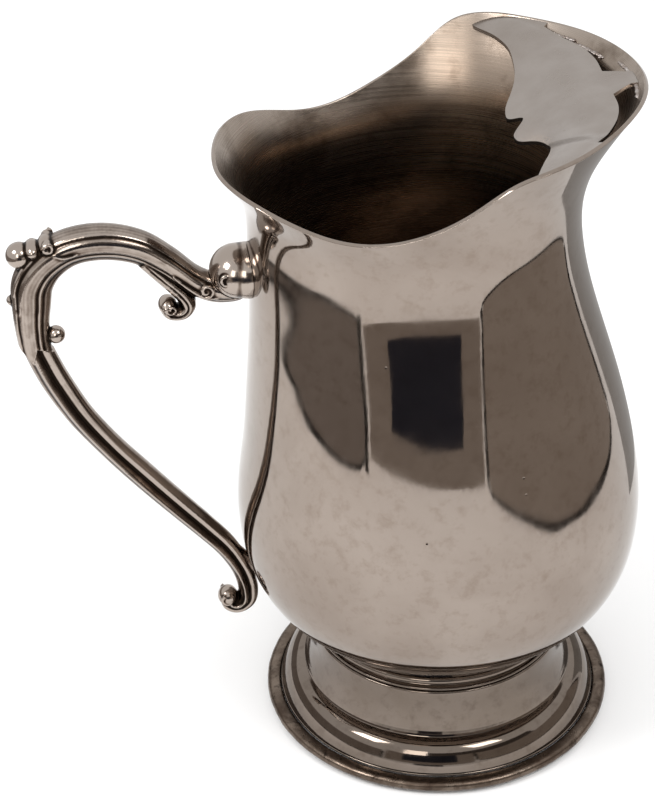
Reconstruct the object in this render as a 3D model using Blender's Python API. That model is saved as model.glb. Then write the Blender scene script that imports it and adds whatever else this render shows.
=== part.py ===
"""Footed water pitcher with an ice guard and a cast scroll handle, in metres, +Z up.

The spout points to +X, the handle to -X, and the middle plane is Y = 0. The foot stands on Z = 0,
and the origin lies under the middle of the overall length.
"""

import math

import bmesh
import bpy
import numpy as np
from mathutils import Vector

MM = 0.001

# Fits: pieces that touch are modelled this far apart.
FIT_GAP = 0.3 * MM

# Vessel: a pear shaped belly, lofted up to a neck that is egg shaped in plan, and a flared rim.
WALL = 1.2 * MM
BELLY_RADIUS = 68.3 * MM
BELLY_HEIGHT = 86.5 * MM
BELLY_DEPTH = 50.0 * MM
BELLY_POWERS = (2.6, 3.24)
NECK_BACK = 61.6 * MM
NECK_FRONT = 45.2 * MM
NECK_SIDE = 50.8 * MM
NECK_HEIGHT = 186.0 * MM
RIM_TOP = 236.2 * MM
# How far from the belly to the neck each section is: (share of the height, back, front, side).
SHOULDER = (
    (0.215, 0.36, 0.12, 0.15),
    (0.42, 0.64, 0.33, 0.36),
    (0.64, 0.88, 0.62, 0.62),
    (0.84, 1.0, 0.87, 0.87),
)
# Rim round half the mouth, from the spout to the handle: (degrees, flare, height below RIM_TOP).
RIM = (
    (0, 18.4, 0.0),
    (30, 15.0, 0.0),
    (55, 12.0, 1.4),
    (70, 11.5, 2.6),
    (78, 10.3, 5.2),
    (88, 7.5, 13.2),
    (102, 5.6, 21.6),
    (118, 4.6, 26.6),
    (134, 5.7, 26.2),
    (150, 9.3, 21.2),
    (165, 10.2, 19.7),
    (180, 9.7, 20.6),
)
FLARE_MID = (0.19, 0.58)
# The wall below this height is the belly's own curve, and above it runs through the sections.
UNDER_BELLY = 70.0 * MM
UNDER_ROWS = 7
UPPER_ROWS = 15
COLUMNS = 60

# Ice guard: a thin plate over the spout, with a bracket shaped edge and two pouring slots.
GUARD_SHEET = 1.2 * MM
GUARD_BELOW_RIM = 2.9 * MM
GUARD_SAG = 11.0 * MM
GUARD_LEVEL_AT = 0.56
# The guard's shoulders rise to the rim and its two horns turn down again: height, then from where
# to where, as shares from the middle to a horn.
GUARD_SHOULDER = (1.2 * MM, 0.45, 0.6)
GUARD_HORN = (2.6 * MM, 0.72, 1.0)
# The smooth line that the guard's height is measured from: distance from the axis, middle and horn.
GUARD_EVEN = (24.5 * MM, 18.5 * MM)
# Edge that faces the handle: (distance from the middle, distance from the axis).
GUARD_EDGE = (
    (0.0, 25.9),
    (2.4, 24.4),
    (4.8, 22.4),
    (8.0, 21.9),
    (12.0, 22.6),
    (17.0, 25.1),
    (23.0, 27.3),
    (30.0, 28.0),
    (38.0, 26.8),
    (46.0, 23.4),
    (52.0, 20.6),
    (56.0, 19.0),
    (60.0, 18.4),
)
# Free edge along each slot: (degrees, width of the slot to the rim).
SLOT_EDGE = ((9, 10.6), (18, 8.2), (27, 6.2), (36, 4.9), (46, 3.4))
TAB_WIDTH = 7.0 * MM
TAB_LENGTH = 11.5 * MM
TAB_RISE = 1.6 * MM

# Foot: collar under the vessel, hollow stepped pedestal, and an applied border.
COLLAR_RADIUS = 44.0 * MM
COLLAR_BORE = 36.0 * MM
COLLAR_DEPTH = 7.0 * MM
WALL_TOP_RADIUS = 43.8 * MM
WALL_FOOT_RADIUS = 46.4 * MM
PEDESTAL_BELOW = 5.3 * MM
PEDESTAL_TOP = BELLY_HEIGHT - BELLY_DEPTH - PEDESTAL_BELOW
STEP_HEIGHT = 14.2 * MM
FLANGE_RADIUS = 55.9 * MM
FOOT_SHEET = 1.3 * MM
BORDER_WIDTH = 4.7 * MM
BORDER_HEIGHT = 4.8 * MM
# Outline of the border wire, as shares of its width and height.
BORDER_OUTLINE = (
    (0.12, 0.0),
    (0.49, 0.0),
    (0.79, 0.19),
    (0.95, 0.4),
    (1.0, 0.57),
    (0.94, 0.81),
    (0.75, 0.96),
    (0.47, 1.0),
    (0.19, 0.98),
    (0.04, 0.9),
    (0.0, 0.74),
    (0.0, 0.15),
)
FOOT_STEPS = 56

# Handle: paths in the middle plane, as (out from the vessel, up from the lower joint, half
# thickness, half width). They are drawn in millimetres for joints DRAWN_RISE apart, and are
# scaled to the joints. The lower joint is HANDLE_LOW above the table.
HANDLE_LOW = 60.0 * MM
NECK_JOINT = NECK_HEIGHT - 10.0 * MM
DRAWN_RISE = 116.0
HANDLE_UNIT = (NECK_JOINT - HANDLE_LOW) / DRAWN_RISE
ARCH = (
    (66.2, 84.0, 5.0, 4.6),
    (69.0, 93.0, 5.1, 4.8),
    (69.6, 101.5, 5.6, 5.2),
    (69.1, 109.9, 6.3, 5.5),
    (68.0, 117.4, 6.7, 5.7),
    (63.3, 124.2, 6.5, 5.7),
    (55.2, 129.0, 6.1, 5.6),
    (44.7, 130.0, 6.0, 5.5),
    (34.3, 127.3, 5.6, 5.3),
    (25.9, 121.5, 5.1, 5.1),
    (18.5, 114.8, 4.7, 4.9),
    (11.6, 110.9, 4.7, 5.4),
    (6.1, 110.3, 4.6, 6.2),
    (3.1, 110.9, 4.4, 6.4),
)
VOLUTE = (
    (32.9, 122.5, 2.2, 3.6),
    (26.6, 115.8, 2.5, 3.8),
    (21.7, 110.4, 2.7, 4.0),
    (19.6, 106.2, 2.7, 4.1),
    (21.4, 103.4, 2.6, 4.1),
    (25.2, 103.4, 2.5, 3.9),
    (26.8, 105.9, 2.3, 3.7),
)
LIMB = (
    (69.9, 103.0, 4.6, 4.2),
    (69.4, 96.5, 4.7, 4.3),
    (67.2, 89.0, 4.9, 4.5),
    (63.2, 78.8, 4.9, 4.6),
    (56.6, 66.2, 4.6, 4.6),
    (47.4, 53.4, 4.4, 4.7),
    (37.4, 41.4, 4.5, 4.9),
    (26.3, 28.6, 4.3, 5.0),
    (17.2, 18.2, 4.1, 5.0),
    (10.0, 9.3, 3.9, 4.9),
    (5.7, 1.6, 3.6, 4.7),
    (3.3, -5.0, 3.5, 4.6),
    (2.4, -10.5, 3.5, 4.6),
    (3.0, -14.8, 3.3, 4.4),
    (6.1, -17.3, 3.0, 4.1),
    (9.1, -16.4, 2.7, 3.8),
    (9.9, -13.4, 2.4, 3.5),
)
# Knobs on the castings: (out, up, radius, half width).
THUMB_KNOBS = (
    (71.4, 127.6, 4.3, 4.4),
    (67.1, 129.6, 2.8, 4.9),
    (62.7, 131.0, 2.7, 5.7),
    (75.1, 111.6, 1.8, 1.8),
    (62.3, 97.8, 3.0, 3.0),
)
VOLUTE_KNOB = (26.2, 105.9, 3.0, 4.3)
LIMB_KNOB = (9.6, -13.2, 3.5, 4.2)
BOSS_KNOB = (3.8, 116.6, 8.7, 9.6)
BOSS_COLLAR = (0.2, 116.4, 9.0, 10.2)
WEB = (2.6, 1.5, 5.0, 3.4)
# Joint between the two castings, a pointed leaf seen from the side: (out, up).
LEAF_JOINT = ((84.3, 99.0), (75.0, 96.6), (70.1, 89.4), (68.6, 94.8), (64.5, 92.6), (54.5, 91.0))
# How far the cutters reach past what they cut, and their half width across the handle.
CUTTER_REACH = 30.0 * MM
CUTTER_WIDTH = 12.0 * MM
# Outline of each casting, half of it: (towards the outside of the loop, sideways), as shares.
ARCH_SECTION = (
    (1.0, 0.0),
    (0.91, 0.55),
    (0.75, 0.77),
    (0.66, 0.77),
    (0.3, 1.0),
    (-0.05, 0.95),
    (-0.28, 0.76),
    (-0.46, 0.74),
    (-0.85, 0.4),
    (-1.0, 0.0),
)
LIMB_SECTION = (
    (1.0, 0.0),
    (0.85, 0.5),
    (0.5, 0.7),
    (0.2, 0.61),
    (-0.15, 0.88),
    (-0.36, 1.0),
    (-0.52, 0.84),
    (-0.82, 0.5),
    (-1.0, 0.0),
)
VOLUTE_SECTION = (
    (1.0, 0.0),
    (0.8, 0.7),
    (0.3, 1.0),
    (-0.3, 0.94),
    (-0.8, 0.62),
    (-1.0, 0.0),
)


def clear_scene():
    for obj in list(bpy.data.objects):
        bpy.data.objects.remove(obj)


def material(name, colour, roughness):
    made = bpy.data.materials.new(name)
    made.use_nodes = True
    shader = made.node_tree.nodes["Principled BSDF"]
    shader.inputs["Base Color"].default_value = (*colour, 1.0)
    shader.inputs["Metallic"].default_value = 1.0
    shader.inputs["Roughness"].default_value = roughness
    made.diffuse_color = (*colour, 1.0)
    return made


def mesh_object(name, points, faces, look=None):
    """A mesh object whose faces all point outwards."""
    mesh = bpy.data.meshes.new(name)
    mesh.from_pydata([tuple(point) for point in points], [], faces)
    work = bmesh.new()
    work.from_mesh(mesh)
    bmesh.ops.remove_doubles(work, verts=work.verts, dist=1e-7)
    bmesh.ops.recalc_face_normals(work, faces=work.faces)
    work.to_mesh(mesh)
    work.free()
    obj = bpy.data.objects.new(name, mesh)
    bpy.context.scene.collection.objects.link(obj)
    if look:
        mesh.materials.append(look)
    return obj


def helper(obj):
    """Marks an object as a cutter, which is no piece of the pitcher."""
    obj.hide_render = True
    obj.display_type = "WIRE"
    return obj


def boolean(obj, other, operation):
    step = obj.modifiers.new(operation.lower() + "_" + other.name, "BOOLEAN")
    step.operation = operation
    step.solver = "EXACT"
    step.object = other


def slopes_through(places, values, first, last=None):
    """Slopes of the smoothest curve through the values. Without a last slope its end is straight."""
    count = len(places)
    matrix = np.zeros((count, count))
    right = np.zeros(count)
    matrix[0, 0] = 1.0
    right[0] = first
    for i in range(1, count - 1):
        low = places[i] - places[i - 1]
        high = places[i + 1] - places[i]
        matrix[i, i - 1 : i + 2] = (high, 2 * (low + high), low)
        change = high * (values[i] - values[i - 1]) / low + low * (values[i + 1] - values[i]) / high
        right[i] = 3 * change
    if last is None:
        matrix[-1, -2:] = (1.0, 2.0)
        right[-1] = 3 * (values[-1] - values[-2]) / (places[-1] - places[-2])
    else:
        matrix[-1, -1] = 1.0
        right[-1] = last
    return np.linalg.solve(matrix, right)


def curve_at(places, values, slopes, at):
    """Value of the curve at this place, and beyond its ends the value there."""
    at = min(max(at, places[0]), places[-1])
    i = max(k for k in range(len(places) - 1) if places[k] <= at or k == 0)
    span = places[i + 1] - places[i]
    t = (at - places[i]) / span
    change = (3 - 2 * t) * t * t
    value = values[i] * (1 - change) + values[i + 1] * change
    return value + span * (slopes[i] * t * (1 - t) ** 2 - slopes[i + 1] * (1 - t) * t * t)


def read_table(rows, at):
    """Each later column of the rows at this value of the first, on a smooth curve, level at its ends."""
    places = [row[0] for row in rows]
    found = []
    for column in range(1, len(rows[0])):
        values = [row[column] for row in rows]
        slopes = slopes_through(places, values, 0.0, 0.0)
        found.append(curve_at(places, values, slopes, at))
    return found


def smooth_path(points, steps):
    """A curve through the points, each a tuple, with this many steps between two of them."""
    found = []
    for i in range(len(points) - 1):
        before = points[max(i - 1, 0)]
        after = points[min(i + 2, len(points) - 1)]
        for k in range(steps):
            t = k / steps
            row = []
            for a, b, c, d in zip(before, points[i], points[i + 1], after):
                row.append(
                    b
                    + 0.5 * t * (c - a)
                    + t * t * (a - 2.5 * b + 2 * c - 0.5 * d)
                    + t * t * t * (1.5 * (b - c) + 0.5 * (d - a))
                )
            found.append(tuple(row))
    found.append(tuple(points[-1]))
    return found


def egg(angle, back, front, side):
    """Distance from the axis to an egg shaped outline in this direction."""
    share = (1 - math.cos(angle)) / 2
    ahead = front + (back - front) * share * share * (3 - 2 * share)
    return 1 / math.hypot(math.cos(angle) / ahead, math.sin(angle) / side)


def belly_radius(height):
    """Radius of the vessel below its widest point."""
    down = min(max((BELLY_HEIGHT - height) / BELLY_DEPTH, 0.0), 1.0)
    return BELLY_RADIUS * (1 - down ** BELLY_POWERS[0]) ** (1 / BELLY_POWERS[1])


def rim_at(angle):
    """Radius and height of the rim in this direction."""
    turn = abs(math.degrees(math.atan2(math.sin(angle), math.cos(angle))))
    flare, below = read_table(RIM, turn)
    neck = egg(angle, NECK_BACK, NECK_FRONT, NECK_SIDE)
    return neck + flare * MM, RIM_TOP - below * MM


def meridian(angle):
    """Outline of the vessel in this direction from the bottom to the rim, as (radius, height)."""
    down = (BELLY_HEIGHT - UNDER_BELLY) / BELLY_DEPTH
    join = math.degrees(math.asin(down ** (BELLY_POWERS[0] / 2)))
    line = []
    for k in range(1, UNDER_ROWS):
        turn = math.radians(90 + (join - 90) * k / UNDER_ROWS)
        height = BELLY_HEIGHT - BELLY_DEPTH * math.sin(turn) ** (2 / BELLY_POWERS[0])
        line.append((belly_radius(height), height))
    heights = [UNDER_BELLY, (UNDER_BELLY + BELLY_HEIGHT) / 2, BELLY_HEIGHT]
    radii = [belly_radius(height) for height in heights]
    for share, *parts in SHOULDER:
        heights.append(BELLY_HEIGHT + share * (NECK_HEIGHT - BELLY_HEIGHT))
        ends = (NECK_BACK, NECK_FRONT, NECK_SIDE)
        sizes = [BELLY_RADIUS + (end - BELLY_RADIUS) * part for end, part in zip(ends, parts)]
        radii.append(egg(angle, *sizes))
    neck = egg(angle, NECK_BACK, NECK_FRONT, NECK_SIDE)
    radius, top = rim_at(angle)
    out, up = FLARE_MID
    heights += [NECK_HEIGHT, NECK_HEIGHT + (top - NECK_HEIGHT) * up, top]
    radii += [neck, neck + (radius - neck) * out, radius]
    step = 0.1 * MM
    start = (belly_radius(UNDER_BELLY + step) - belly_radius(UNDER_BELLY - step)) / (2 * step)
    slopes = slopes_through(heights, radii, start)
    for k in range(UPPER_ROWS + 1):
        share = 1 - (1 - k / UPPER_ROWS) ** 1.25
        height = UNDER_BELLY + (top - UNDER_BELLY) * share
        line.append((curve_at(heights, radii, slopes, height), height))
    return line


def vessel_grid(offset):
    """Rows of points round the vessel from the bottom up, moved out by the offset."""
    angles = [2 * math.pi * k / COLUMNS for k in range(COLUMNS)]
    lines = [meridian(angle) for angle in angles]
    rows = []
    for i in range(len(lines[0])):
        row = []
        for angle, line in zip(angles, lines):
            radius, height = line[i]
            row.append(Vector((radius * math.cos(angle), radius * math.sin(angle), height)))
        rows.append(row)
    moved = []
    for i, row in enumerate(rows):
        below = rows[max(i - 1, 0)]
        above = rows[min(i + 1, len(rows) - 1)]
        new_row = []
        for k, point in enumerate(row):
            along = row[(k + 1) % COLUMNS] - row[k - 1]
            out = along.cross(above[k] - below[k]).normalized()
            new_row.append(point + offset * out)
        moved.append(new_row)
    return moved


def ring_faces(rows, start=0):
    faces = []
    for i in range(rows - 1):
        for k in range(COLUMNS):
            after = (k + 1) % COLUMNS
            low = start + i * COLUMNS
            faces.append((low + k, low + after, low + COLUMNS + after, low + COLUMNS + k))
    return faces


def vessel_solid(name, offset, rise):
    """The room inside an offset of the vessel, closed flat above the rim, for cutting."""
    rows = vessel_grid(offset)
    rows.append([Vector((point.x, point.y, point.z + rise)) for point in rows[-1]])
    points = [point for row in rows for point in row]
    faces = ring_faces(len(rows))
    bottom = len(points)
    points.append(Vector((0, 0, BELLY_HEIGHT - BELLY_DEPTH - offset)))
    points.append(Vector((0, 0, RIM_TOP + rise)))
    last = bottom - COLUMNS
    for k in range(COLUMNS):
        after = (k + 1) % COLUMNS
        faces.append((bottom, after, k))
        faces.append((bottom + 1, last + k, last + after))
    return helper(mesh_object(name, points, faces))


def make_vessel(look):
    outer = vessel_grid(0.0)
    inner = vessel_grid(-WALL)
    points = [point for row in outer + inner for point in row]
    count = len(outer) * COLUMNS
    faces = ring_faces(len(outer))
    faces += [face[::-1] for face in ring_faces(len(inner), count)]
    bottom = len(points)
    points.append(Vector((0, 0, BELLY_HEIGHT - BELLY_DEPTH)))
    points.append(Vector((0, 0, BELLY_HEIGHT - BELLY_DEPTH + WALL)))
    rim = count - COLUMNS
    for k in range(COLUMNS):
        after = (k + 1) % COLUMNS
        faces.append((bottom, after, k))
        faces.append((bottom + 1, count + k, count + after))
        faces.append((rim + k, rim + after, count + rim + after, count + rim + k))
    return mesh_object("body_shell", points, faces, look)


def rise_between(value, start, end):
    """From 0 at the start to 1 at the end, level at both."""
    share = min(max((value - start) / (end - start), 0.0), 1.0)
    return share * share * (3 - 2 * share)


def guard_height(across, ahead):
    """Height of the guard's upper face: it sags at its open edge, levels out and rises to the tab."""
    level = RIM_TOP - GUARD_BELOW_RIM
    level += GUARD_SHOULDER[0] * rise_between(abs(across), *GUARD_SHOULDER[1:])
    level -= GUARD_HORN[0] * rise_between(abs(across), *GUARD_HORN[1:])
    edge = level - GUARD_SAG * (1 - across * across)
    share = 1 - (1 - min(ahead / GUARD_LEVEL_AT, 1.0)) ** 1.6
    return edge + (level - edge) * share + TAB_RISE * rise_between(ahead, GUARD_LEVEL_AT, 0.78)


def guard_blank(reach):
    """The plate before it is trimmed to the inside of the rim."""
    columns = 41
    rows = 10
    points = []
    for lift in (0.0, -GUARD_SHEET):
        for i in range(rows):
            ahead = i / (rows - 1)
            for k in range(columns):
                across = 2 * k / (columns - 1) - 1
                side = GUARD_EDGE[-1][0] * MM * across
                (edge,) = read_table(GUARD_EDGE, abs(side) / MM)
                turn = math.radians(75) * across
                x = edge * MM * (1 - ahead) + reach * math.cos(turn) * ahead
                y = side * (1 - ahead) + reach * math.sin(turn) * ahead
                even = GUARD_EVEN[0] + (GUARD_EVEN[1] - GUARD_EVEN[0]) * across * across
                past = (x - even) / (reach * math.cos(turn) - even)
                points.append((x, y, guard_height(across, past) + lift))
    faces = []
    layer = rows * columns
    for i in range(rows - 1):
        for k in range(columns - 1):
            a = i * columns + k
            face = (a, a + columns, a + columns + 1, a + 1)
            faces.append(face)
            faces.append(tuple(layer + corner for corner in face[::-1]))
    border = [k for k in range(columns)]
    border += [i * columns + columns - 1 for i in range(1, rows)]
    border += [(rows - 1) * columns + k for k in range(columns - 2, -1, -1)]
    border += [i * columns for i in range(rows - 2, 0, -1)]
    for a, b in zip(border, border[1:] + border[:1]):
        faces.append((a, b, layer + b, layer + a))
    return points, faces


def slot_cutter(name, side, reach):
    """A prism over one pouring slot, on the side of Y that the sign gives."""
    tab = TAB_WIDTH
    outline = [(reach, tab * 0.45), (rim_at(0)[0] - TAB_LENGTH * 0.45, tab * 0.6)]
    for degrees, width in SLOT_EDGE:
        angle = math.radians(degrees)
        radius = rim_at(angle)[0] - width * MM
        outline.append((radius * math.cos(angle), radius * math.sin(angle)))
    end = math.radians(SLOT_EDGE[-1][0])
    outline.append((reach * math.cos(end), reach * math.sin(end)))
    outline.append((reach * math.cos(end / 2) * 1.1, reach * math.sin(end / 2) * 1.1))
    count = len(outline)
    points = [(x, side * y, RIM_TOP - CUTTER_REACH) for x, y in outline]
    points += [(x, side * y, RIM_TOP + CUTTER_WIDTH) for x, y in outline]
    faces = [tuple(range(count)), tuple(range(2 * count - 1, count - 1, -1))]
    for k in range(count):
        after = (k + 1) % count
        faces.append((k, after, count + after, count + k))
    return helper(mesh_object(name, points, faces))


def make_guard(look, room):
    reach = rim_at(0)[0] + 6 * MM
    points, faces = guard_blank(reach)
    guard = mesh_object("ice_guard", points, faces, look)
    for name, side in (("slot_near", -1), ("slot_far", 1)):
        boolean(guard, slot_cutter(name, side, reach + 6 * MM), "DIFFERENCE")
    boolean(guard, room, "INTERSECT")
    return guard


def revolve(name, profile, look):
    """Spins a closed outline, given as (radius, height), once round the Z axis."""
    work = bmesh.new()
    corners = [work.verts.new((radius, 0, height)) for radius, height in profile]
    loop = [work.edges.new((a, b)) for a, b in zip(corners, corners[1:] + corners[:1])]
    bmesh.ops.spin(
        work,
        geom=corners + loop,
        cent=(0, 0, 0),
        axis=(0, 0, 1),
        angle=2 * math.pi,
        steps=FOOT_STEPS,
        use_merge=True,
    )
    bmesh.ops.remove_doubles(work, verts=work.verts, dist=1e-7)
    bmesh.ops.recalc_face_normals(work, faces=work.faces)
    mesh = bpy.data.meshes.new(name)
    work.to_mesh(mesh)
    work.free()
    mesh.materials.append(look)
    obj = bpy.data.objects.new(name, mesh)
    bpy.context.scene.collection.objects.link(obj)
    return obj


def arc(radius, height, size, start, end, steps):
    """Points on an arc round (radius, height), from the start angle to the end, in degrees."""
    found = []
    for k in range(steps + 1):
        turn = math.radians(start + (end - start) * k / steps)
        found.append((radius + size * math.cos(turn), height + size * math.sin(turn)))
    return found


def vessel_under(radius):
    """Height of the vessel's outside at this radius, near its bottom."""
    share = (radius / BELLY_RADIUS) ** BELLY_POWERS[1]
    return BELLY_HEIGHT - BELLY_DEPTH * (1 - share) ** (1 / BELLY_POWERS[0])


def make_collar(look):
    base = PEDESTAL_TOP + FIT_GAP
    bead = 1.3 * MM
    outer = COLLAR_RADIUS
    profile = [(COLLAR_BORE, base), (outer - 1.0 * MM, base)]
    profile += [(outer - 0.6 * MM, base + 0.7 * MM), (outer - 2.4 * MM, base + 1.3 * MM)]
    profile += [(outer - 2.6 * MM, base + 2.6 * MM)]
    profile += arc(outer - bead, base + COLLAR_DEPTH - 2.9 * MM, bead, -110, 100, 6)
    seat = outer - 3.0 * MM
    top = []
    for k in range(5):
        radius = seat + (COLLAR_BORE - seat) * k / 4
        top.append((radius, vessel_under(radius) - FIT_GAP))
    profile += top
    return revolve("foot_collar", profile, look)


def flange_line(outset):
    """The pedestal's ovolo flange from its step to its edge, thickened by the outset."""
    span = FLANGE_RADIUS - WALL_FOOT_RADIUS - 0.8 * MM
    start = WALL_FOOT_RADIUS + 0.8 * MM
    low = BORDER_HEIGHT - 0.8 * MM
    drop = STEP_HEIGHT - low
    shares = ((0.0, 1.0), (0.24, 0.97), (0.48, 0.86), (0.68, 0.67), (0.83, 0.43), (0.94, 0.17), (1.0, 0.0))
    return [(start + span * a - outset * a, low + drop * b - outset) for a, b in shares]


def make_pedestal(look):
    sheet = FOOT_SHEET
    top = PEDESTAL_TOP
    outside = [(COLLAR_BORE + 2 * MM, top), (WALL_TOP_RADIUS - 0.8 * MM, top)]
    outside += [(WALL_TOP_RADIUS, top - 0.8 * MM), (WALL_TOP_RADIUS + 0.5 * MM, top - 8 * MM)]
    outside += [(WALL_FOOT_RADIUS, STEP_HEIGHT + 1.6 * MM)]
    outside += [(WALL_FOOT_RADIUS + 0.9 * MM, STEP_HEIGHT + 0.9 * MM)]
    outside += flange_line(0.0)
    inside = flange_line(sheet)[::-1]
    inside += [(WALL_FOOT_RADIUS - sheet, STEP_HEIGHT + 0.2 * MM)]
    inside += [(WALL_TOP_RADIUS - sheet, top - sheet), (COLLAR_BORE + 2 * MM, top - sheet)]
    return revolve("foot_pedestal", outside + inside, look)


def make_border(look):
    """The applied border wire round the flange, whose flat underside the pitcher stands on."""
    inner = FLANGE_RADIUS + FIT_GAP
    profile = [(inner + BORDER_WIDTH * a, BORDER_HEIGHT * b) for a, b in BORDER_OUTLINE]
    return revolve("foot_border", profile, look)


def handle_point(out, up):
    """A point in the middle plane. It follows the belly near the lower joint and the neck above."""
    share = min(max((up - 12) / 68, 0.0), 1.0)
    share = share * share * (3 - 2 * share)
    back = belly_radius(HANDLE_LOW)
    radius = back + (NECK_BACK - back) * share
    return Vector((-radius - out * HANDLE_UNIT, 0, HANDLE_LOW + up * HANDLE_UNIT))


def sweep(name, path, section, steps, outside, look=None):
    """Carries a closed section along a path in the middle plane. The sign says which side is out."""
    line = smooth_path(path, steps)
    centres = [handle_point(row[0], row[1]) for row in line]
    outline = list(section) + [(a, -b) for a, b in section[-2:0:-1]]
    points = []
    for i, row in enumerate(line):
        ahead = centres[min(i + 1, len(line) - 1)] - centres[max(i - 1, 0)]
        ahead.normalize()
        normal = Vector((-ahead.z, 0, ahead.x)) * outside
        for out, side in outline:
            point = centres[i] + normal * (out * row[2] * HANDLE_UNIT)
            points.append(point + Vector((0, side * row[3] * HANDLE_UNIT, 0)))
    count = len(outline)
    faces = [tuple(range(count)), tuple(range(len(points) - 1, len(points) - count - 1, -1))]
    for i in range(len(line) - 1):
        for k in range(count):
            after = (k + 1) % count
            low = i * count
            faces.append((low + k, low + after, low + count + after, low + count + k))
    return mesh_object(name, points, faces, look)


def knob(name, place, segments=14):
    """A rounded knob in the middle plane, flattened or drawn out sideways."""
    out, up, radius, width = place
    centre = handle_point(out, up)
    work = bmesh.new()
    bmesh.ops.create_uvsphere(work, u_segments=segments, v_segments=segments // 2 + 1, radius=1.0)
    for vertex in work.verts:
        x, y, z = vertex.co
        vertex.co = centre + Vector((x * radius, -z * width, y * radius)) * HANDLE_UNIT
    bmesh.ops.recalc_face_normals(work, faces=work.faces)
    mesh = bpy.data.meshes.new(name)
    work.to_mesh(mesh)
    work.free()
    obj = bpy.data.objects.new(name, mesh)
    bpy.context.scene.collection.objects.link(obj)
    return helper(obj)


def slab(name, start, end, depth, width):
    """A long block along a line in the middle plane, from one handle point to another."""
    ahead = (end - start).normalized()
    normal = Vector((-ahead.z, 0, ahead.x)) * depth
    side = Vector((0, width, 0))
    points = []
    for centre in (start, end):
        points += [centre + normal + side, centre + normal - side]
        points += [centre - normal - side, centre - normal + side]
    faces = [(0, 1, 2, 3), (7, 6, 5, 4), (0, 4, 5, 1), (1, 5, 6, 2), (2, 6, 7, 3), (3, 7, 4, 0)]
    return helper(mesh_object(name, points, faces))


def make_boss(look, body):
    """The round boss that joins the upper casting to the neck."""
    boss = knob("handle_boss", BOSS_KNOB, 20)
    boss.hide_render = False
    boss.display_type = "TEXTURED"
    boss.data.materials.append(look)
    boolean(boss, knob("boss_collar", BOSS_COLLAR, 16), "UNION")
    boolean(boss, body, "DIFFERENCE")
    return boss


def joint_cutter(name, shift, reach):
    """A prism past the leaf shaped joint, moved along the handle, that cuts one casting off there."""
    line = [handle_point(out, up) + Vector((0, 0, shift)) for out, up in LEAF_JOINT]
    line += [line[-1] + Vector((0, 0, reach)), line[0] + Vector((0, 0, reach))]
    count = len(line)
    wide = Vector((0, CUTTER_WIDTH, 0))
    points = [point + wide for point in line] + [point - wide for point in line]
    faces = [tuple(range(count)), tuple(range(2 * count - 1, count - 1, -1))]
    for k in range(count):
        after = (k + 1) % count
        faces.append((k, after, count + after, count + k))
    return helper(mesh_object(name, points, faces))


def make_arch(look):
    arch = sweep("handle_arch", ARCH, ARCH_SECTION, 3, 1, look)
    volute = helper(sweep("arch_volute", VOLUTE, VOLUTE_SECTION, 3, 1))
    boolean(arch, volute, "UNION")
    for number, place in enumerate(THUMB_KNOBS + (VOLUTE_KNOB,)):
        boolean(arch, knob(f"arch_knob_{number}", place, 12), "UNION")
    out, up, radius, width = BOSS_KNOB
    gap = FIT_GAP / HANDLE_UNIT
    seat = knob("boss_seat", (out, up, radius + gap, width + gap), 20)
    boolean(arch, seat, "DIFFERENCE")
    out, up, radius, width = BOSS_COLLAR
    seat = knob("collar_seat", (out, up, radius + gap, width + gap), 16)
    boolean(arch, seat, "DIFFERENCE")
    boolean(arch, joint_cutter("below_joint", FIT_GAP, -CUTTER_REACH), "DIFFERENCE")
    return arch


def make_limb(look, body):
    limb = sweep("handle_limb", LIMB, LIMB_SECTION, 3, 1, look)
    boolean(limb, joint_cutter("above_joint", 0.0, CUTTER_REACH), "DIFFERENCE")
    boolean(limb, knob("limb_knob", LIMB_KNOB, 12), "UNION")
    out, up, reach, width = WEB
    start = handle_point(out + reach, up + reach * 1.2)
    end = handle_point(out - reach * 0.8, up - reach)
    boolean(limb, slab("limb_web", start, end, 2.4 * HANDLE_UNIT, width * HANDLE_UNIT), "UNION")
    boolean(limb, body, "DIFFERENCE")
    return limb


def centre_length():
    """Moves everything, cutters included, so that the origin is halfway along the overall length."""
    graph = bpy.context.evaluated_depsgraph_get()
    ends = []
    for obj in bpy.data.objects:
        if not obj.hide_render:
            ends += [corner[0] for corner in obj.evaluated_get(graph).bound_box]
    middle = (min(ends) + max(ends)) / 2
    for obj in bpy.data.objects:
        obj.location.x -= middle


def main():
    clear_scene()
    plate = material("silver_plate", (0.38, 0.335, 0.30), 0.12)
    satin = material("satin_silver", (0.42, 0.385, 0.355), 0.35)
    cast = material("cast_silver", (0.36, 0.31, 0.27), 0.25)
    worn = material("worn_border", (0.2, 0.155, 0.125), 0.4)
    foot = material("foot_plate", (0.34, 0.295, 0.26), 0.16)
    around = vessel_solid("vessel_outside", FIT_GAP, 20 * MM)
    room = vessel_solid("vessel_inside", -WALL - FIT_GAP, 20 * MM)
    make_vessel(plate)
    make_guard(satin, room)
    make_collar(foot)
    make_pedestal(foot)
    make_border(worn)
    make_boss(cast, around)
    make_arch(cast)
    make_limb(cast, around)
    centre_length()


main()
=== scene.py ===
"""Silver-plated water pitcher, dressed for its pictures.

The vessel, guard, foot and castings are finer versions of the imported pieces, made from the same sizes.
Lengths are in metres. The spout points to +X and the handle to -X.
"""

import math

import bmesh
import bpy
import numpy as np
from mathutils import Matrix, Vector


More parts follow.
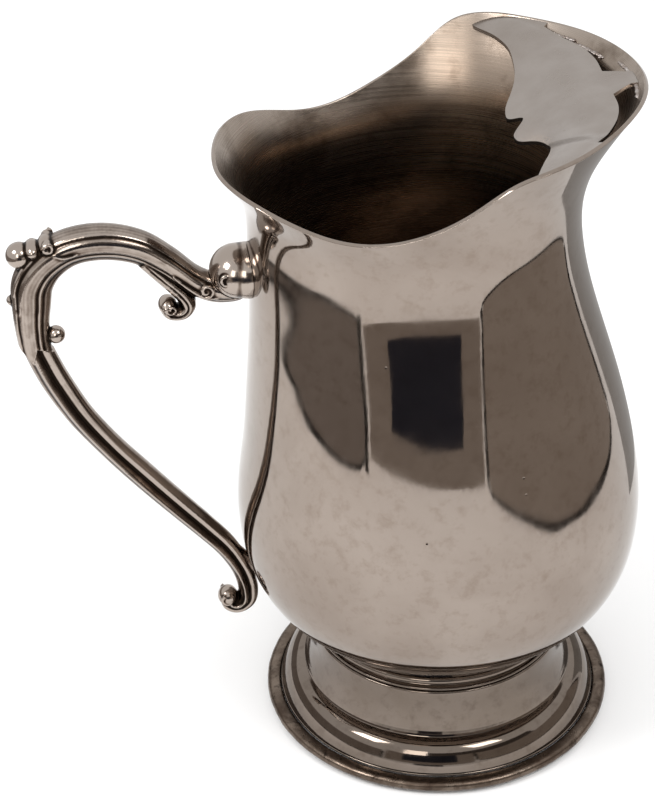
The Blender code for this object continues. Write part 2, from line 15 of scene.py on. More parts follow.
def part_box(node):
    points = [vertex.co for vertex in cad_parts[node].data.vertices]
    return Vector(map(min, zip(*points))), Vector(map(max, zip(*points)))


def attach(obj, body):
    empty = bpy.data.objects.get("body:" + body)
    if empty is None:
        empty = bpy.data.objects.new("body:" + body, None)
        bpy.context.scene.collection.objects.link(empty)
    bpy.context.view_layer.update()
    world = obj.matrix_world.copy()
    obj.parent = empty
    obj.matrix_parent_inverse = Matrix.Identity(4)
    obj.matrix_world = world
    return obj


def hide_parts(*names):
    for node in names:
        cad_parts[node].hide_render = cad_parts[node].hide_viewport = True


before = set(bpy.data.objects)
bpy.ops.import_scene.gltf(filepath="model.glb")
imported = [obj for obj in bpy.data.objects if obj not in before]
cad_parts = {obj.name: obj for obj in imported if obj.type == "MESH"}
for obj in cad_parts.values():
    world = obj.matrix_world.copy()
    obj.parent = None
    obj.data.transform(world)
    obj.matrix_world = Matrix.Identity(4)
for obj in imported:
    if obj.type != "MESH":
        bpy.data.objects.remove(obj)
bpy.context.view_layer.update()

MM = 0.001

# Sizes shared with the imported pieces.
FIT_GAP = 0.3 * MM
WALL = 1.2 * MM
BELLY_RADIUS = 68.3 * MM
BELLY_HEIGHT = 86.5 * MM
BELLY_DEPTH = 50.0 * MM
BELLY_POWERS = (2.6, 3.24)
NECK_BACK = 61.6 * MM
NECK_FRONT = 45.2 * MM
NECK_SIDE = 50.8 * MM
NECK_HEIGHT = 186.0 * MM
RIM_TOP = 236.2 * MM
# Between belly and neck: share of the height, and shares of the way in at the back, front and side.
SHOULDER = (
    (0.215, 0.36, 0.12, 0.15),
    (0.42, 0.64, 0.33, 0.36),
    (0.64, 0.88, 0.62, 0.62),
    (0.84, 1.0, 0.87, 0.87),
)
# The rim: degrees from the spout, flare beyond the neck, and how far it lies below its top.
RIM = (
    (0, 18.4, 0.0),
    (30, 15.0, 0.0),
    (55, 12.0, 1.4),
    (70, 11.5, 2.6),
    (78, 10.3, 5.2),
    (88, 7.5, 13.2),
    (102, 5.6, 21.6),
    (118, 4.6, 26.6),
    (134, 5.7, 26.2),
    (150, 9.3, 21.2),
    (165, 10.2, 19.7),
    (180, 9.7, 20.6),
)
FLARE_MID = (0.19, 0.58)
UNDER_BELLY = 70.0 * MM
GUARD_SHEET = 1.2 * MM
GUARD_BELOW_RIM = 2.9 * MM
GUARD_SAG = 11.0 * MM
GUARD_SAG_POWER = 1.6
GUARD_LEVEL_AT = 0.56
TAB_LEVEL_AT = 0.78
# The blank turns this far to each side in degrees and reaches this far past the rim. It is then
# trimmed to this distance from the wall.
GUARD_TURN = 75
GUARD_SPARE = 6 * MM
GUARD_GAP = 0.05 * MM
# The guard's shoulders rise to the rim and its two horns turn down again: height, then from where
# to where, as shares from the middle to a horn.
GUARD_SHOULDER = (1.2 * MM, 0.45, 0.6)
GUARD_HORN = (2.6 * MM, 0.72, 1.0)
# The smooth line that the guard's height is measured from: distance from the axis, middle and horn.
GUARD_EVEN = (24.5 * MM, 18.5 * MM)
# Edge that faces the handle: (distance from the middle, distance from the axis).
GUARD_EDGE = (
    (0.0, 25.9),
    (2.4, 24.4),
    (4.8, 22.4),
    (8.0, 21.9),
    (12.0, 22.6),
    (17.0, 25.1),
    (23.0, 27.3),
    (30.0, 28.0),
    (38.0, 26.8),
    (46.0, 23.4),
    (52.0, 20.6),
    (56.0, 19.0),
    (60.0, 18.4),
)
SLOT_EDGE = ((9, 10.6), (18, 8.2), (27, 6.2), (36, 4.9), (46, 3.4))
TAB_WIDTH = 7.0 * MM
TAB_LENGTH = 11.5 * MM
TAB_RISE = 1.6 * MM
COLLAR_RADIUS = 44.0 * MM
COLLAR_BORE = 36.0 * MM
COLLAR_DEPTH = 7.0 * MM
WALL_TOP_RADIUS = 43.8 * MM
WALL_FOOT_RADIUS = 46.4 * MM
PEDESTAL_BELOW = 5.3 * MM
PEDESTAL_TOP = BELLY_HEIGHT - BELLY_DEPTH - PEDESTAL_BELOW
STEP_HEIGHT = 14.2 * MM
FLANGE_RADIUS = 55.9 * MM
FOOT_SHEET = 1.3 * MM
STEP_LEDGE = 0.8 * MM
FLANGE_DIP = 0.8 * MM
FILLET = 0.42 * MM
# The flange's outline from its step to its edge, as shares of its span and fall.
FLANGE_SHAPE = (
    (0.0, 1.0),
    (0.24, 0.97),
    (0.48, 0.86),
    (0.68, 0.67),
    (0.83, 0.43),
    (0.94, 0.17),
    (1.0, 0.0),
)
BORDER_WIDTH = 4.7 * MM
BORDER_HEIGHT = 4.8 * MM
# Outline of the border wire, as shares of its width and height.
BORDER_OUTLINE = (
    (0.12, 0.0),
    (0.49, 0.0),
    (0.79, 0.19),
    (0.95, 0.4),
    (1.0, 0.57),
    (0.94, 0.81),
    (0.75, 0.96),
    (0.47, 1.0),
    (0.19, 0.98),
    (0.04, 0.9),
    (0.0, 0.74),
    (0.0, 0.15),
)
# The wire's inner side fills this share of the gap to the flange.
BORDER_FILL = 0.8
DENT_DEPTH = 0.45 * MM
HANDLE_LOW = 60.0 * MM
NECK_JOINT = NECK_HEIGHT - 10.0 * MM
DRAWN_RISE = 116.0
HANDLE_UNIT = (NECK_JOINT - HANDLE_LOW) / DRAWN_RISE
# Between these heights the handle's distances stop following the belly and start following the neck.
NECK_TAKES_OVER = (12, 80)
# Rows of the castings, in handle units: (out, up, half thickness, half width).
ARCH = (
    (66.2, 84.0, 5.0, 4.6),
    (69.0, 93.0, 5.1, 4.8),
    (69.6, 101.5, 5.6, 5.2),
    (69.1, 109.9, 6.3, 5.5),
    (68.0, 117.4, 6.7, 5.7),
    (63.3, 124.2, 6.5, 5.7),
    (55.2, 129.0, 6.1, 5.6),
    (44.7, 130.0, 6.0, 5.5),
    (34.3, 127.3, 5.6, 5.3),
    (25.9, 121.5, 5.1, 5.1),
    (18.5, 114.8, 4.7, 4.9),
    (11.6, 110.9, 4.7, 5.4),
    (6.1, 110.3, 4.6, 6.2),
    (3.1, 110.9, 4.4, 6.4),
)
VOLUTE = (
    (32.9, 122.5, 2.2, 3.6),
    (26.6, 115.8, 2.5, 3.8),
    (21.7, 110.4, 2.7, 4.0),
    (19.6, 106.2, 2.7, 4.1),
    (21.4, 103.4, 2.6, 4.1),
    (25.2, 103.4, 2.5, 3.9),
    (26.8, 105.9, 2.3, 3.7),
)
LIMB = (
    (69.9, 103.0, 4.6, 4.2),
    (69.4, 96.5, 4.7, 4.3),
    (67.2, 89.0, 4.9, 4.5),
    (63.2, 78.8, 4.9, 4.6),
    (56.6, 66.2, 4.6, 4.6),
    (47.4, 53.4, 4.4, 4.7),
    (37.4, 41.4, 4.5, 4.9),
    (26.3, 28.6, 4.3, 5.0),
    (17.2, 18.2, 4.1, 5.0),
    (10.0, 9.3, 3.9, 4.9),
    (5.7, 1.6, 3.6, 4.7),
    (3.3, -5.0, 3.5, 4.6),
    (2.4, -10.5, 3.5, 4.6),
    (3.0, -14.8, 3.3, 4.4),
    (6.1, -17.3, 3.0, 4.1),
    (9.1, -16.4, 2.7, 3.8),
    (9.9, -13.4, 2.4, 3.5),
)
# Knobs on the castings: (out, up, radius, half width).
THUMB_KNOBS = (
    (71.4, 127.6, 4.3, 4.4),
    (67.1, 129.6, 2.8, 4.9),
    (62.7, 131.0, 2.7, 5.7),
    (75.1, 111.6, 1.8, 1.8),
    (62.3, 97.8, 3.0, 3.0),
)
VOLUTE_KNOB = (26.2, 105.9, 3.0, 4.3)
LIMB_KNOB = (9.6, -13.2, 3.5, 4.2)
BOSS_KNOB = (3.8, 116.6, 8.7, 9.6)
BOSS_COLLAR = (0.2, 116.4, 9.0, 10.2)
BOSS_GAP = 0.1
LEAF_GAP = 0.1 * MM
# Web to the belly: out, up, reach. The bar in it has its own radius.
WEB = (2.6, 1.5, 5.0)
WEB_RADIUS = 2.6 * MM
# The short roll across the thumb piece: radius and half length.
ROLL = (1.75 * MM, 5.0 * MM)
# Spirals on each flank of the castings: (out, up, radius, turns, thickness, distance from the
# middle plane, way round, first direction). The first of them lies behind the thumb piece.
ARCH_CURLS = (
    (62.4, 131.8, 1.85, 1.4, 0.6, 5.1, -1, 80),
    (13.6, 112.4, 2.3, 1.5, 0.6, 5.0, 1, -100),
    (24.9, 105.9, 1.9, 1.2, 0.5, 4.1, 1, 160),
)
BOSS_CURL = (7.4, 117.9, 2.0, 1.3, 0.62, 8.1, 1, -60)
LIMB_CURL = (*LIMB_KNOB[:2], 2.3, 1.3, 0.55, 3.5, 1, 120)
# A spiral has this many steps a turn, and loses these shares of its radius and its thickness.
CURL_STEPS = 26
CURL_CLOSES = 0.82
CURL_TAPERS = 0.5
# Leaf edges on each flank: ((out, up) marks, thickness, distance from the middle plane).
ARCH_RIBS = (
    (((61.0, 129.6), (57.5, 128.4), (53.0, 129.2)), 0.7, 5.2),
    (((24.0, 118.4), (19.0, 113.6), (14.0, 110.0), (9.0, 109.6)), 0.7, 4.6),
    (((70.5, 125.0), (73.2, 119.0), (74.2, 114.5)), 0.7, 3.6),
    (((66.5, 124.0), (71.5, 117.0), (72.8, 108.0)), 0.6, 4.6),
    (((73.6, 110.0), (72.0, 103.0), (70.0, 92.0)), 0.7, 3.9),
)
# How thick they are at their ends, as a share.
RIB_END = 0.35
# Joint between the two castings, a pointed leaf seen from the side: (out, up).
LEAF_JOINT = ((84.3, 99.0), (75.0, 96.6), (70.1, 89.4), (68.6, 94.8), (64.5, 92.6), (54.5, 91.0))
CUTTER_REACH = 30.0 * MM
CUTTER_WIDTH = 12.0 * MM
ROOM_RISE = 20 * MM
SOLDER_SPACING = 0.55 * MM
SOLDER_RADIUS = 0.85 * MM
# Lines of solder: from and to, in degrees from the spout, and millimetres below the rim.
SOLDER_LINES = ((20, 62, 3.6), (34, 54, 2.7), (-62, -47, 3.8), (3, 12, 2.2), (-12, -3, 2.2))

# The vessel's axis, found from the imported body.
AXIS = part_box("body_shell")[1].x - BELLY_RADIUS

# How finely the finished surfaces are drawn.
COLUMNS = 300
UNDER_ROWS = 34
UPPER_ROWS = 96
# Powers that crowd the vessel's rows towards its bottom and its rim.
UNDER_SPACING = 1.15
UPPER_SPACING = 1.25
LIP_STEPS = 6
GUARD_COLUMNS = 181
GUARD_ROWS = 46
FOOT_STEPS = 320
SOLDER_STEPS = 14
SWEEP_STEPS = 10
BOSS_SEGMENTS = 48
RECESS_ROUNDS = 14
CAST_VOXEL = 0.32 * MM
# Rounds of smoothing: the plain bulb of the boss, its volutes and the two castings.
BULB_ROUNDS = 40
VOLUTE_ROUNDS = 3
CAST_ROUNDS = 2
# The vessel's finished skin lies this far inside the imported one.
SKIN_INSET = 0.06 * MM
# The lip is a flat curve: this share of a half round.
LIP_BULGE = 0.06


# Curves


def slopes_through(places, values, first, last=None):
    """Slopes of the smoothest curve through the values. Without a last slope its end is straight."""
    count = len(places)
    matrix = np.zeros((count, count))
    right = np.zeros(count)
    matrix[0, 0] = 1.0
    right[0] = first
    for i in range(1, count - 1):
        low = places[i] - places[i - 1]
        high = places[i + 1] - places[i]
        matrix[i, i - 1 : i + 2] = (high, 2 * (low + high), low)
        change = high * (values[i] - values[i - 1]) / low + low * (values[i + 1] - values[i]) / high
        right[i] = 3 * change
    if last is None:
        matrix[-1, -2:] = (1.0, 2.0)
        right[-1] = 3 * (values[-1] - values[-2]) / (places[-1] - places[-2])
    else:
        matrix[-1, -1] = 1.0
        right[-1] = last
    return np.linalg.solve(matrix, right)


def curve_at(places, values, slopes, at):
    """Values of the curve at these places, and beyond its ends the value there."""
    places = np.asarray(places, float)
    values = np.asarray(values, float)
    at = np.clip(at, places[0], places[-1])
    i = np.clip(np.searchsorted(places, at, side="right") - 1, 0, len(places) - 2)
    span = places[i + 1] - places[i]
    t = (at - places[i]) / span
    change = (3 - 2 * t) * t * t
    value = values[i] * (1 - change) + values[i + 1] * change
    return value + span * (slopes[i] * t * (1 - t) ** 2 - slopes[i + 1] * (1 - t) * t * t)


def table_column(rows, column, at):
    """One column of the rows at these values of the first, on a smooth curve that is level at its ends."""
    places = [row[0] for row in rows]
    values = [row[column] for row in rows]
    return curve_at(places, values, slopes_through(places, values, 0.0, 0.0), at)


def smooth_path(points, steps):
    """A curve through the points, each a tuple, with this many steps between two of them."""
    marks = np.array(points, float)
    found = []
    for i in range(len(marks) - 1):
        a = marks[max(i - 1, 0)]
        b = marks[i]
        c = marks[i + 1]
        d = marks[min(i + 2, len(marks) - 1)]
        for k in range(steps):
            t = k / steps
            found.append(
                b
                + 0.5 * t * (c - a)
                + t * t * (a - 2.5 * b + 2 * c - 0.5 * d)
                + t * t * t * (1.5 * (b - c) + 0.5 * (d - a))
            )
    found.append(marks[-1])
    return found


# Mesh helpers


def link(obj):
    bpy.context.scene.collection.objects.link(obj)
    return obj


def outward(mesh, merge=0.0):
    """Turns every face of a closed mesh outwards, after joining points closer than the merge distance."""
    work = bmesh.new()
    work.from_mesh(mesh)
    if merge:
        bmesh.ops.remove_doubles(work, verts=work.verts, dist=merge)
    bmesh.ops.recalc_face_normals(work, faces=work.faces)
    work.to_mesh(mesh)
    work.free()


def mesh_object(name, points, faces):
    """A mesh object whose faces all point outwards. Its points are measured from the vessel's axis."""
    mesh = bpy.data.meshes.new(name)
    mesh.from_pydata([(x + AXIS, y, z) for x, y, z in points], [], faces)
    outward(mesh, 1e-7)
    return link(bpy.data.objects.new(name, mesh))


def ring_faces(rows, columns):
    """Faces between closed rows of points."""
    faces = []
    for i in range(rows - 1):
        low = i * columns
        for k in range(columns):
            after = (k + 1) % columns
            faces.append((low + k, low + after, low + columns + after, low + columns + k))
    return faces


def pointed_solid(name, rows, low, high):
    """Rows of points joined into rings, with a point that closes each end."""
    points = [point for row in rows for point in row]
    columns = len(rows[0])
    faces = ring_faces(len(rows), columns)
    bottom = len(points)
    last = bottom - columns
    for k in range(columns):
        after = (k + 1) % columns
        faces.append((bottom, after, k))
        faces.append((bottom + 1, last + k, last + after))
    return mesh_object(name, points + [low, high], faces)


def flat_ended_solid(name, rows):
    """Rows of points joined into rings, with a flat face at each end."""
    points = [point for row in rows for point in row]
    count = len(rows[0])
    ends = [tuple(range(count)), tuple(range(len(points) - 1, len(points) - count - 1, -1))]
    return mesh_object(name, points, ends + ring_faces(len(rows), count))


def read(items, key, width, kind=float):
    """One property of all the points, edges or faces of a mesh, a row for each."""
    values = np.empty(len(items) * width, kind)
    items.foreach_get(key, values)
    return values.reshape(-1, width)


def store(mesh, name, values):
    """Keeps a number at each point, for a material to use."""
    made = mesh.attributes.new(name, "FLOAT", "POINT")
    made.data.foreach_set("value", values.astype(np.float32))


def settle(obj):
    """Applies the modifiers, leaving a plain mesh."""
    graph = bpy.context.evaluated_depsgraph_get()
    mesh = bpy.data.meshes.new_from_object(obj.evaluated_get(graph))
    obj.modifiers.clear()
    obj.data = mesh
    mesh.name = obj.name
    return obj


def drop(*objects):
    for obj in objects:
        bpy.data.objects.remove(obj)


def smooth_shade(obj, degrees=None):
    """Smooth shading, with sharp edges where faces meet at more than these degrees."""
    obj.data.shade_smooth()
    if degrees is not None:
        obj.data.set_sharp_from_angle(angle=math.radians(degrees))


def boolean(obj, other, operation="DIFFERENCE"):
    """Cuts the other solid from this one, or keeps what they share, and drops the other."""
    step = obj.modifiers.new("join", "BOOLEAN")
    step.operation = operation
    step.solver = "EXACT"
    step.object = other
    settle(obj)
    drop(other)


def only_look(obj, look):
    obj.data.materials.clear()
    obj.data.materials.append(look)


def finish_piece(obj, slot, *nodes):
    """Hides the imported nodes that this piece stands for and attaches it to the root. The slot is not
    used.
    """
    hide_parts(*nodes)
    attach(obj, "root")
    return obj


# Vessel


def egg(angle, back, front, side):
    """Radius of an egg-shaped ring in this direction, from its sizes to the back, front and side."""
    share = (1 - math.cos(angle)) / 2
    ahead = front + (back - front) * share * share * (3 - 2 * share)
    return 1 / math.hypot(math.cos(angle) / ahead, math.sin(angle) / side)


def belly_radius(height):
    down = min(max((BELLY_HEIGHT - height) / BELLY_DEPTH, 0.0), 1.0)
    return BELLY_RADIUS * (1 - down ** BELLY_POWERS[0]) ** (1 / BELLY_POWERS[1])


def rim_at(angle):
    """Radius and height of the rim in this direction."""
    turn = abs(math.degrees(math.atan2(math.sin(angle), math.cos(angle))))
    neck = egg(angle, NECK_BACK, NECK_FRONT, NECK_SIDE)
    flare = float(table_column(RIM, 1, turn))
    below = float(table_column(RIM, 2, turn))
    return neck + flare * MM, RIM_TOP - below * MM


def meridian(angle):
    """Outline of the vessel in this direction, as radii and heights from the bottom to the rim."""
    down = (BELLY_HEIGHT - UNDER_BELLY) / BELLY_DEPTH
    join = math.asin(down ** (BELLY_POWERS[0] / 2))
    lower_radii = []
    lower_heights = []
    for k in range(1, UNDER_ROWS):
        turn = math.pi / 2 + (join - math.pi / 2) * (k / UNDER_ROWS) ** UNDER_SPACING
        height = BELLY_HEIGHT - BELLY_DEPTH * math.sin(turn) ** (2 / BELLY_POWERS[0])
        lower_radii.append(belly_radius(height))
        lower_heights.append(height)
    heights = [UNDER_BELLY, (UNDER_BELLY + BELLY_HEIGHT) / 2, BELLY_HEIGHT]
    radii = [belly_radius(height) for height in heights]
    for share, *parts in SHOULDER:
        heights.append(BELLY_HEIGHT + share * (NECK_HEIGHT - BELLY_HEIGHT))
        ends = (NECK_BACK, NECK_FRONT, NECK_SIDE)
        sizes = [BELLY_RADIUS + (end - BELLY_RADIUS) * part for end, part in zip(ends, parts)]
        radii.append(egg(angle, *sizes))
    neck = egg(angle, NECK_BACK, NECK_FRONT, NECK_SIDE)
    radius, top = rim_at(angle)
    out, up = FLARE_MID
    heights += [NECK_HEIGHT, NECK_HEIGHT + (top - NECK_HEIGHT) * up, top]
    radii += [neck, neck + (radius - neck) * out, radius]
    step = 0.1 * MM
    start = (belly_radius(UNDER_BELLY + step) - belly_radius(UNDER_BELLY - step)) / (2 * step)
    slopes = slopes_through(heights, radii, start)
    shares = 1 - (1 - np.arange(UPPER_ROWS + 1) / UPPER_ROWS) ** UPPER_SPACING
    levels = UNDER_BELLY + (top - UNDER_BELLY) * shares
    across = curve_at(heights, radii, slopes, levels)
    return np.concatenate([lower_radii, across]), np.concatenate([lower_heights, levels])


def vessel_grid():
    """Points of the outside, row by row from the bottom up, and the outward direction at each."""
    angles = 2 * np.pi * np.arange(COLUMNS) / COLUMNS
    rows = []
    for angle in angles:
        radii, heights = meridian(angle)
        rows.append(np.stack([radii * math.cos(angle), radii * math.sin(angle), heights], axis=1))
    grid = np.array(rows).transpose(1, 0, 2)
    along = np.roll(grid, -1, axis=1) - np.roll(grid, 1, axis=1)
    above = np.concatenate([grid[1:], grid[-1:]])
    below = np.concatenate([grid[:1], grid[:-1]])
    out = np.cross(along, above - below)
    out /= np.linalg.norm(out, axis=2, keepdims=True)
    inset = grid - SKIN_INSET * out
    inset[..., 2] = np.minimum(inset[..., 2], grid[..., 2])
    return inset, out


def room_solid(grid, out, offset, step):
    """The room inside an offset of the vessel, closed above the rim, for trimming what meets it.

    Only every second row and every so many columns are used.
    """
    moved = (grid + offset * out)[::2, ::step]
    rows = list(moved)
    rows.append(moved[-1] + np.array([0, 0, ROOM_RISE]))
    low = (0, 0, BELLY_HEIGHT - BELLY_DEPTH - offset)
    return pointed_solid("vessel_room", rows, low, (0, 0, RIM_TOP + ROOM_RISE))


def make_vessel(grid, out, outside_look, inside_look):
    """The raised body, with a rounded lip, in one closed skin."""
    rows = list(grid)
    lip = grid[-1] - out[-1] * WALL / 2
    ahead = grid[-1] - grid[-2]
    ahead /= np.linalg.norm(ahead, axis=1, keepdims=True)
    for k in range(1, LIP_STEPS):
        turn = math.pi * k / LIP_STEPS
        rows.append(lip + (out[-1] * math.cos(turn) + ahead * math.sin(turn) * LIP_BULGE) * WALL / 2)
    rows += list((grid - out * WALL)[::-1])
    low = (0, 0, BELLY_HEIGHT - BELLY_DEPTH)
    body = pointed_solid("pitcher_body", rows, low, (0, 0, low[2] + WALL))
    mesh = body.data
    mesh.materials.append(outside_look)
    mesh.materials.append(inside_look)
    smooth_shade(body)
    # The inside is what faces the axis, and the upper face of the floor.
    middle = read(mesh.polygons, "center", 3)
    facing = read(mesh.polygons, "normal", 3)
    towards = facing[:, 0] * (middle[:, 0] - AXIS) + facing[:, 1] * middle[:, 1]
    flat_floor = np.abs(facing[:, 2]) > 0.995
    inner = np.where(flat_floor, facing[:, 2] > 0, towards < 0)
    mesh.polygons.foreach_set("material_index", inner.astype(np.int32))
    place = read(mesh.vertices, "co", 3)
    turns = np.arctan2(place[:, 1], place[:, 0] - AXIS) % (2 * np.pi)
    columns = 2 * np.pi * np.arange(COLUMNS + 1) / COLUMNS
    tops = np.append(grid[-1][:, 2], grid[-1][0, 2])
    store(mesh, "below_rim", np.interp(turns, columns, tops) - place[:, 2])
    return finish_piece(body, "silver_plate", "body_shell")


# Ice guard


def rise_between(value, start, end):
    """From 0 at the start to 1 at the end, level at both."""
    share = np.clip((value - start) / (end - start), 0.0, 1.0)
    return share * share * (3 - 2 * share)


def guard_height(across, ahead):
    """Height of the guard's upper face: it sags at its open edge, levels out and rises to the tab."""
    level = RIM_TOP - GUARD_BELOW_RIM
    level = level + GUARD_SHOULDER[0] * rise_between(abs(across), *GUARD_SHOULDER[1:])
    level = level - GUARD_HORN[0] * rise_between(abs(across), *GUARD_HORN[1:])
    edge = level - GUARD_SAG * (1 - across * across)
    share = 1 - (1 - np.minimum(ahead / GUARD_LEVEL_AT, 1.0)) ** GUARD_SAG_POWER
    return edge + (level - edge) * share + TAB_RISE * rise_between(ahead, GUARD_LEVEL_AT, TAB_LEVEL_AT)


def guard_blank(reach):
    """The plate before it is trimmed to the inside of the rim."""
    columns = GUARD_COLUMNS
    rows = GUARD_ROWS
    across = np.linspace(-1, 1, columns)
    side = GUARD_EDGE[-1][0] * MM * across
    edge = table_column(GUARD_EDGE, 1, np.abs(side) / MM) * MM
    turn = math.radians(GUARD_TURN) * across
    even = GUARD_EVEN[0] + (GUARD_EVEN[1] - GUARD_EVEN[0]) * across * across
    points = []
    for lift in (0.0, -GUARD_SHEET):
        for i in range(rows):
            ahead = i / (rows - 1)
            x = edge * (1 - ahead) + reach * np.cos(turn) * ahead
            y = side * (1 - ahead) + reach * np.sin(turn) * ahead
            past = (x - even) / (reach * np.cos(turn) - even)
            points += list(np.stack([x, y, guard_height(across, past) + lift], axis=1))
    faces = []
    layer = rows * columns
    for i in range(rows - 1):
        for k in range(columns - 1):
            a = i * columns + k
            face = (a, a + columns, a + columns + 1, a + 1)
            faces += [face, tuple(layer + corner for corner in face[::-1])]
    border = list(range(columns))
    border += [i * columns + columns - 1 for i in range(1, rows)]
    border += [(rows - 1) * columns + k for k in range(columns - 2, -1, -1)]
    border += [i * columns for i in range(rows - 2, 0, -1)]
    for a, b in zip(border, border[1:] + border[:1]):
        faces.append((a, b, layer + b, layer + a))
    return mesh_object("ice_guard_plate", points, faces)


def slot_line():
    """The guard's free edge along one slot, from the tab to where the plate meets the wall."""
    marks = []
    for degrees, width in SLOT_EDGE:
        angle = math.radians(degrees)
        radius = rim_at(angle)[0] - width * MM
        marks.append((radius * math.cos(angle), radius * math.sin(angle)))
    root = (rim_at(0)[0] - TAB_LENGTH * 0.45, TAB_WIDTH * 0.6)
    return [root] + [tuple(point) for point in smooth_path(marks, 8)]


def slot_cutter(side, reach):
    """A prism over one pouring slot."""
    outline = [(reach, TAB_WIDTH * 0.45)] + slot_line()
    end = math.radians(SLOT_EDGE[-1][0])
    outline.append((reach * math.cos(end), reach * math.sin(end)))
    outline.append((reach * math.cos(end / 2) * 1.1, reach * math.sin(end / 2) * 1.1))
    levels = (RIM_TOP - CUTTER_REACH, RIM_TOP + CUTTER_WIDTH)
    return flat_ended_solid("slot_cutter", [[(x, side * y, z) for x, y in outline] for z in levels])


def make_guard(look, grid, out):
    reach = rim_at(0)[0] + GUARD_SPARE
    guard = guard_blank(reach)
    for side in (-1, 1):
        boolean(guard, slot_cutter(side, reach + GUARD_SPARE))
    boolean(guard, room_solid(grid, out, -WALL - GUARD_GAP, 3), "INTERSECT")
    only_look(guard, look)
    smooth_shade(guard, 40)
    return finish_piece(guard, "satin_silver", "ice_guard")


# Foot


def revolve(name, profile, look, corner=40):
    """Spins a closed outline, given as (radius, height), once round the vessel's axis."""
    count = len(profile)
    points = []
    for angle in 2 * np.pi * np.arange(FOOT_STEPS) / FOOT_STEPS:
        points += [(r * math.cos(angle), r * math.sin(angle), z) for r, z in profile]
    faces = []
    for i in range(FOOT_STEPS):
        low = i * count
        high = ((i + 1) % FOOT_STEPS) * count
        for k in range(count):
            after = (k + 1) % count
            faces.append((low + k, high + k, high + after, low + after))
    obj = mesh_object(name, points, faces)
    only_look(obj, look)
    smooth_shade(obj, corner)
    return obj


def arc(radius, height, size, start, end, steps):
    """Points on part of a circle in a profile, between two directions in degrees."""
    turns = [math.radians(start + (end - start) * k / steps) for k in range(steps + 1)]
    return [(radius + size * math.cos(turn), height + size * math.sin(turn)) for turn in turns]


def vessel_under(radius):
    """Height of the vessel's underside at this distance from its axis."""
    share = (radius / BELLY_RADIUS) ** BELLY_POWERS[1]
    return BELLY_HEIGHT - BELLY_DEPTH * (1 - share) ** (1 / BELLY_POWERS[0])


def make_collar(look):
    """The moulded ring under the vessel: a fillet, a groove and a bead."""
    base = PEDESTAL_TOP + FIT_GAP
    bead = 1.3 * MM
    outer = COLLAR_RADIUS
    profile = [(COLLAR_BORE, base), (outer - 1.0 * MM, base)]
    profile += arc(outer - 1.1 * MM, base + 0.55 * MM, 0.55 * MM, -60, 80, 5)
    profile += arc(outer - 1.6 * MM, base + 1.95 * MM, 0.85 * MM, 250, 120, 7)
    profile += arc(outer - bead, base + COLLAR_DEPTH - 2.9 * MM, bead, -110, 100, 12)
    seat = outer - 3.0 * MM
    for k in range(9):
        radius = seat + (COLLAR_BORE - seat) * k / 8
        profile.append((radius, vessel_under(radius) - FIT_GAP / 3))
    return finish_piece(revolve("foot_ring", profile, look), "foot_plate", "foot_collar")


def flange_line(outset):
    """The pedestal's ovolo flange from its step to its edge, thickened by the outset."""
    start = WALL_FOOT_RADIUS + STEP_LEDGE
    span = FLANGE_RADIUS - start
    low = BORDER_HEIGHT - FLANGE_DIP
    fall = STEP_HEIGHT - low
    path = smooth_path(FLANGE_SHAPE, 5)
    return [(start + span * a - outset * a, low + fall * b - outset) for a, b in path]


def make_pedestal(look):
    """The hollow foot: a rounded top edge, a hollow-sided wall, a step and the ovolo flange."""
    sheet = FOOT_SHEET
    top = PEDESTAL_TOP
    round_edge = 0.8 * MM
    outside = [(COLLAR_BORE + 2 * MM, top), (WALL_TOP_RADIUS - 0.9 * MM, top)]
    outside += arc(WALL_TOP_RADIUS - round_edge, top - round_edge, round_edge, 75, 0, 5)
    wall = (
        (WALL_TOP_RADIUS, top - round_edge),
        (WALL_TOP_RADIUS + 0.5 * MM, top - 8 * MM),
        (WALL_FOOT_RADIUS, STEP_HEIGHT + 1.6 * MM),
    )
    outside += [tuple(point) for point in smooth_path(wall, 6)[1:]]
    outside += [(WALL_FOOT_RADIUS + 0.35 * MM, STEP_HEIGHT + 0.9 * MM)]
    outside += [(WALL_FOOT_RADIUS + 0.55 * MM, STEP_HEIGHT + 0.25 * MM)]
    # The flange ends in a thin bright fillet against the border wire.
    outside += flange_line(0.0)[:-4]
    outside += arc(FLANGE_RADIUS - FILLET, BORDER_HEIGHT - 0.3 * MM, FILLET, 165, 0, 6)
    inside = flange_line(sheet)[::-1]
    inside += [(WALL_FOOT_RADIUS - sheet, STEP_HEIGHT + 0.2 * MM)]
    inside += [(WALL_TOP_RADIUS - sheet, top - sheet), (COLLAR_BORE + 2 * MM, top - sheet)]
    pedestal = revolve("foot_stand", outside + inside, look, 30)
    return finish_piece(pedestal, "foot_plate", "foot_pedestal")


# Node trees


def feed(tree, socket, value):
    """Links another socket to this one, or sets it to a plain value."""
    if isinstance(value, bpy.types.NodeSocket):
        tree.links.new(value, socket)
    elif socket.type == "RGBA":
        socket.default_value = (*value, 1.0)
    else:
        socket.default_value = value


def add(tree, kind, inputs=None, **settings):
    """A new node with these settings, whose inputs take values or other nodes' outputs."""
    node = tree.nodes.new(kind)
    for key, value in settings.items():
        setattr(node, key, value)
    for key, value in (inputs or {}).items():
        feed(tree, node.inputs[key], value)
    return node


def output(tree, kind, inputs=None, **settings):
    """The first output of a new node."""
    return add(tree, kind, inputs, **settings).outputs[0]


def calc(tree, operation, *values):
    return output(tree, "ShaderNodeMath", dict(enumerate(values)), operation=operation)


